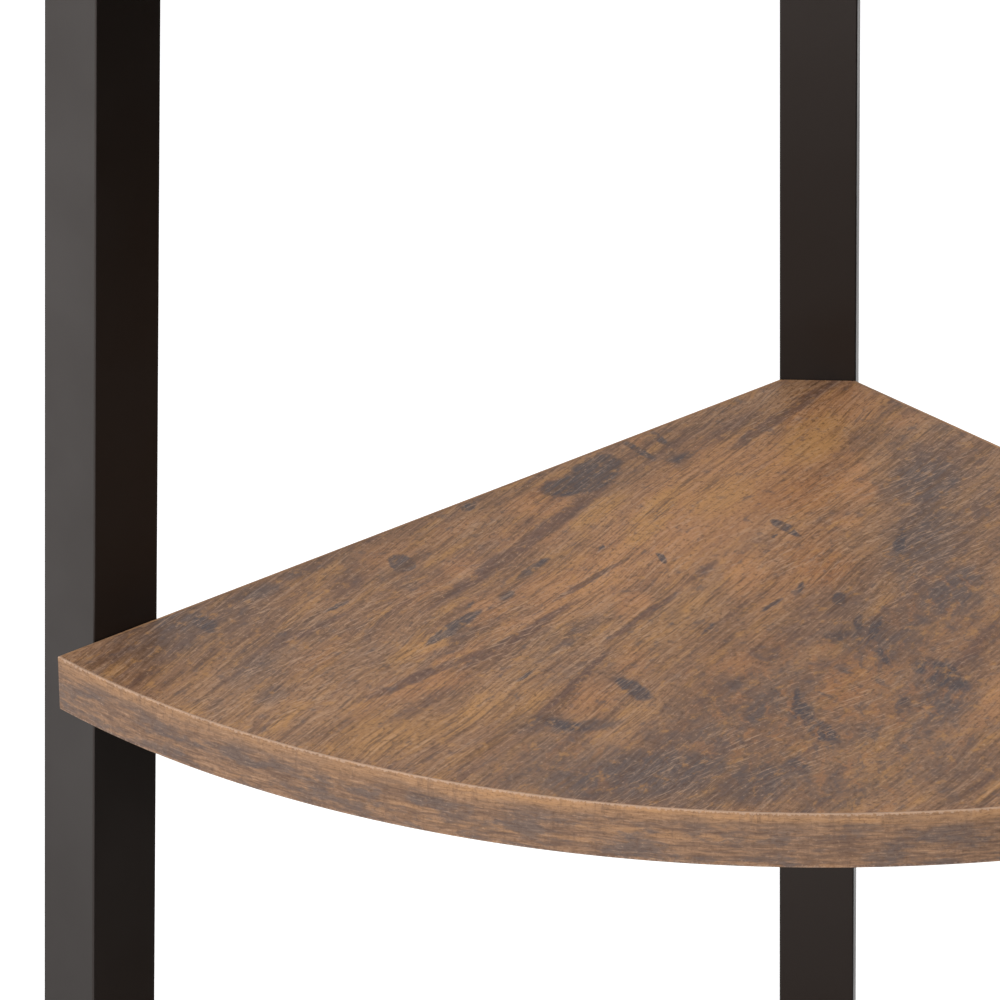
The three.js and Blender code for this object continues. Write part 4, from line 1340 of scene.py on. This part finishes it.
def foot_rings():
    count = round((THREAD_END - THREAD_START) / THREAD_PITCH * THREAD_STEPS)
    length = THREAD_END - TIP_LENGTH - THREAD_START
    rings = [circle(radius * MM, height * MM) for radius, height in PAD_OUTLINE]
    rings += [
        hexagon(HEX_RADIUS, PAD_HEIGHT),
        hexagon(HEX_RADIUS, FOOT_HEIGHT - HEX_CHAMFER_HEIGHT),
        hexagon(HEX_RADIUS - HEX_CHAMFER, FOOT_HEIGHT),
        circle(STEM_RADIUS - THREAD_DEPTH, FOOT_HEIGHT),
    ]
    rings += [threaded_ring(THREAD_START + length * row / count) for row in range(count + 1)]
    rings.append(circle(STEM_TIP_RADIUS, THREAD_END))
    return rings


rings = foot_rings()
for name, post in PLACES.items():
    foot = leaned(skinned(f"{name}_screw_foot", rings), post, range(len(rings)))
    kept(finished(foot, foot_finish), f"{name}_foot", "foot_plastic", f"{name}_levelling_foot")

# %% [markdown]
# ## Bolts
#
# Fifteen equal bolts hold the boards. Such a bolt has a low domed head with a hexagonal recess for
# a key. It is modelled once, lying along Y with its head at the outside, and a small tree sets a
# copy of it at each fixing of a post. The fixings of one post lie on a straight line, which leans
# with the post, so a line of points is all that the tree needs. It runs from the middle of the
# lowest board's edge to the middle of the highest one's.

# %% Model one bolt
BOLT_REACH = 14 * MM
BOLT_CHAMFER = 0.7 * MM
BOLT_BEVEL = 0.1 * MM
HEAD_RADIUS = 5.25 * MM
HEAD_HEIGHT = 3.3 * MM
HEAD_RIM = 0.5 * MM
DOME_STEPS = 7
DOME_SWEEP = 0.82 * QUARTER_TURN
DOME_FULLNESS = 0.8
KEY_RADIUS = 2.3 * MM
KEY_DEPTH = 2 * MM
KEY_CHAMFER = 0.25 * MM
KEY_POINT = 0.4 * MM
KEY_LIP = 0.3 * MM
KEY_LAND = 0.45 * MM
UNDER_HEAD = SEAT_GAP + TUBE_WIDTH / 2


def bolt_rings():
    """From the tip of the shank, over the dome and into the recess. Heights are along the bolt."""
    tip = -TUBE_WIDTH / 2 - SEAT_GAP - BOLT_REACH
    rim, top = UNDER_HEAD + HEAD_RIM, UNDER_HEAD + HEAD_HEIGHT
    rings = [circle(BOLT_RADIUS - BOLT_CHAMFER, tip), circle(BOLT_RADIUS, tip + BOLT_CHAMFER)]
    rings += [circle(BOLT_RADIUS, UNDER_HEAD), circle(HEAD_RADIUS, UNDER_HEAD), circle(HEAD_RADIUS, rim)]
    for step in range(1, DOME_STEPS + 1):
        angle = DOME_SWEEP * step / DOME_STEPS
        radius = HEAD_RADIUS * math.cos(angle) ** DOME_FULLNESS
        height = rim + (top - rim) * math.sin(angle) / math.sin(DOME_SWEEP)
        rings.append(circle(max(radius, KEY_RADIUS + KEY_LAND), height))
    rings.append(circle(KEY_RADIUS + KEY_LIP, top))
    rings += [hexagon(KEY_RADIUS, top - KEY_CHAMFER), hexagon(KEY_RADIUS, top - KEY_DEPTH)]
    rings.append(circle(KEY_RADIUS / 5, top - KEY_DEPTH - KEY_POINT))
    return rings


pattern_bolt = skinned("pattern_bolt", bolt_rings())
pattern_bolt.data.transform(Matrix.Rotation(-QUARTER_TURN, 4, "X"))
pattern_bolt = finished(pattern_bolt, oxide_finish, BOLT_BEVEL)
print("faces of a bolt:", len(pattern_bolt.data.polygons))

# %% Set the bolts on their posts
def row_tree():
    tree, given, ending = new_tree("row_of_copies", {
        OBJECT: ("Pattern",),
        VECTOR: ("First", "Last"),
        WHOLE: ("Count",),
        FLOAT: ("Turn",),
        MATERIAL: ("Material",),
    })
    pattern, first, last, count, turn, finish = given.values()
    feeds = {"Count": count, "Start Location": first, "Offset": last}
    line = tree("GeometryNodeMeshLine", feeds, mode="END_POINTS", count_mode="TOTAL")
    shape = tree.node("GeometryNodeObjectInfo", {"Object": pattern}).outputs["Geometry"]
    feeds = {"Points": line, "Instance": shape, "Rotation": tree.combine(z=turn)}
    finish_tree(tree, ending, tree("GeometryNodeInstanceOnPoints", feeds), finish)
    return tree


row_shape = row_tree()

for name, post in PLACES.items():
    first, last = (placed_on(post, (0, 0, tier.top - HALF_BOARD)) for tier in (tiers[0], tiers[-1]))
    sizes = {
        "Pattern": pattern_bolt,
        "First": first,
        "Last": last,
        "Count": TIER_COUNT,
        "Turn": post.turn + (0 if post.outward > 0 else math.pi),
        "Material": oxide_finish,
    }
    bolts = made_by(f"{name}_button_head_bolts", row_shape, sizes)
    kept(smooth(bolts), "frame", "black_bolt", *[f"{name}_bolt_{number}" for number in TIER_NUMBERS])

bpy.data.objects.remove(pattern_bolt)

# %% [markdown]
# ## Brackets, screws and inserts
#
# The wall brackets are stamped and folded from zinc-plated strip, and stamping rolls the edges of a
# strip over a little. Their solids already have the right fold and hole, so a copy of each with its
# edges rounded is all that is needed. The same goes for their slotted screws. A solid's flat faces
# are made of triangles, which are joined first, because a bevel needs whole faces to run along. The
# inserts lie hidden in the boards' edges, and a brass finish on the solids is enough.

# %% Round the edges of stamped parts and finish the inserts
FLAT_ANGLE = math.radians(0.5)
STAMPED_EDGE = 0.25 * MM


def softened(name, node, finish, bevel):
    """A copy of a solid with rounded edges."""
    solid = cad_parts[node]
    shape = bmesh.new()
    shape.from_mesh(solid.data)
    shape.transform(solid.matrix_world)
    bmesh.ops.remove_doubles(shape, verts=shape.verts, dist=MERGE_REACH)
    bmesh.ops.dissolve_limit(shape, angle_limit=FLAT_ANGLE, verts=shape.verts, edges=shape.edges)
    mesh = bpy.data.meshes.new(name)
    shape.to_mesh(mesh)
    shape.free()
    return finished(in_scene(name, mesh), finish, bevel)


for side in POSTS[1:]:
    for made, solid, bevel in (
        ("folded_bracket", "wall_bracket", STAMPED_EDGE),
        ("slotted_screw", "bracket_screw", STAMPED_EDGE / 2),
    ):
        piece = softened(f"{side}_{made}", f"{side}_{solid}", zinc_finish, bevel)
        kept(piece, "frame", "zinc_plate", f"{side}_{solid}")

for name in POSTS:
    for number in TIER_NUMBERS:
        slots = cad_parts[f"{name}_insert_{number}"].data.materials
        slots.clear()
        slots.append(brass_finish)
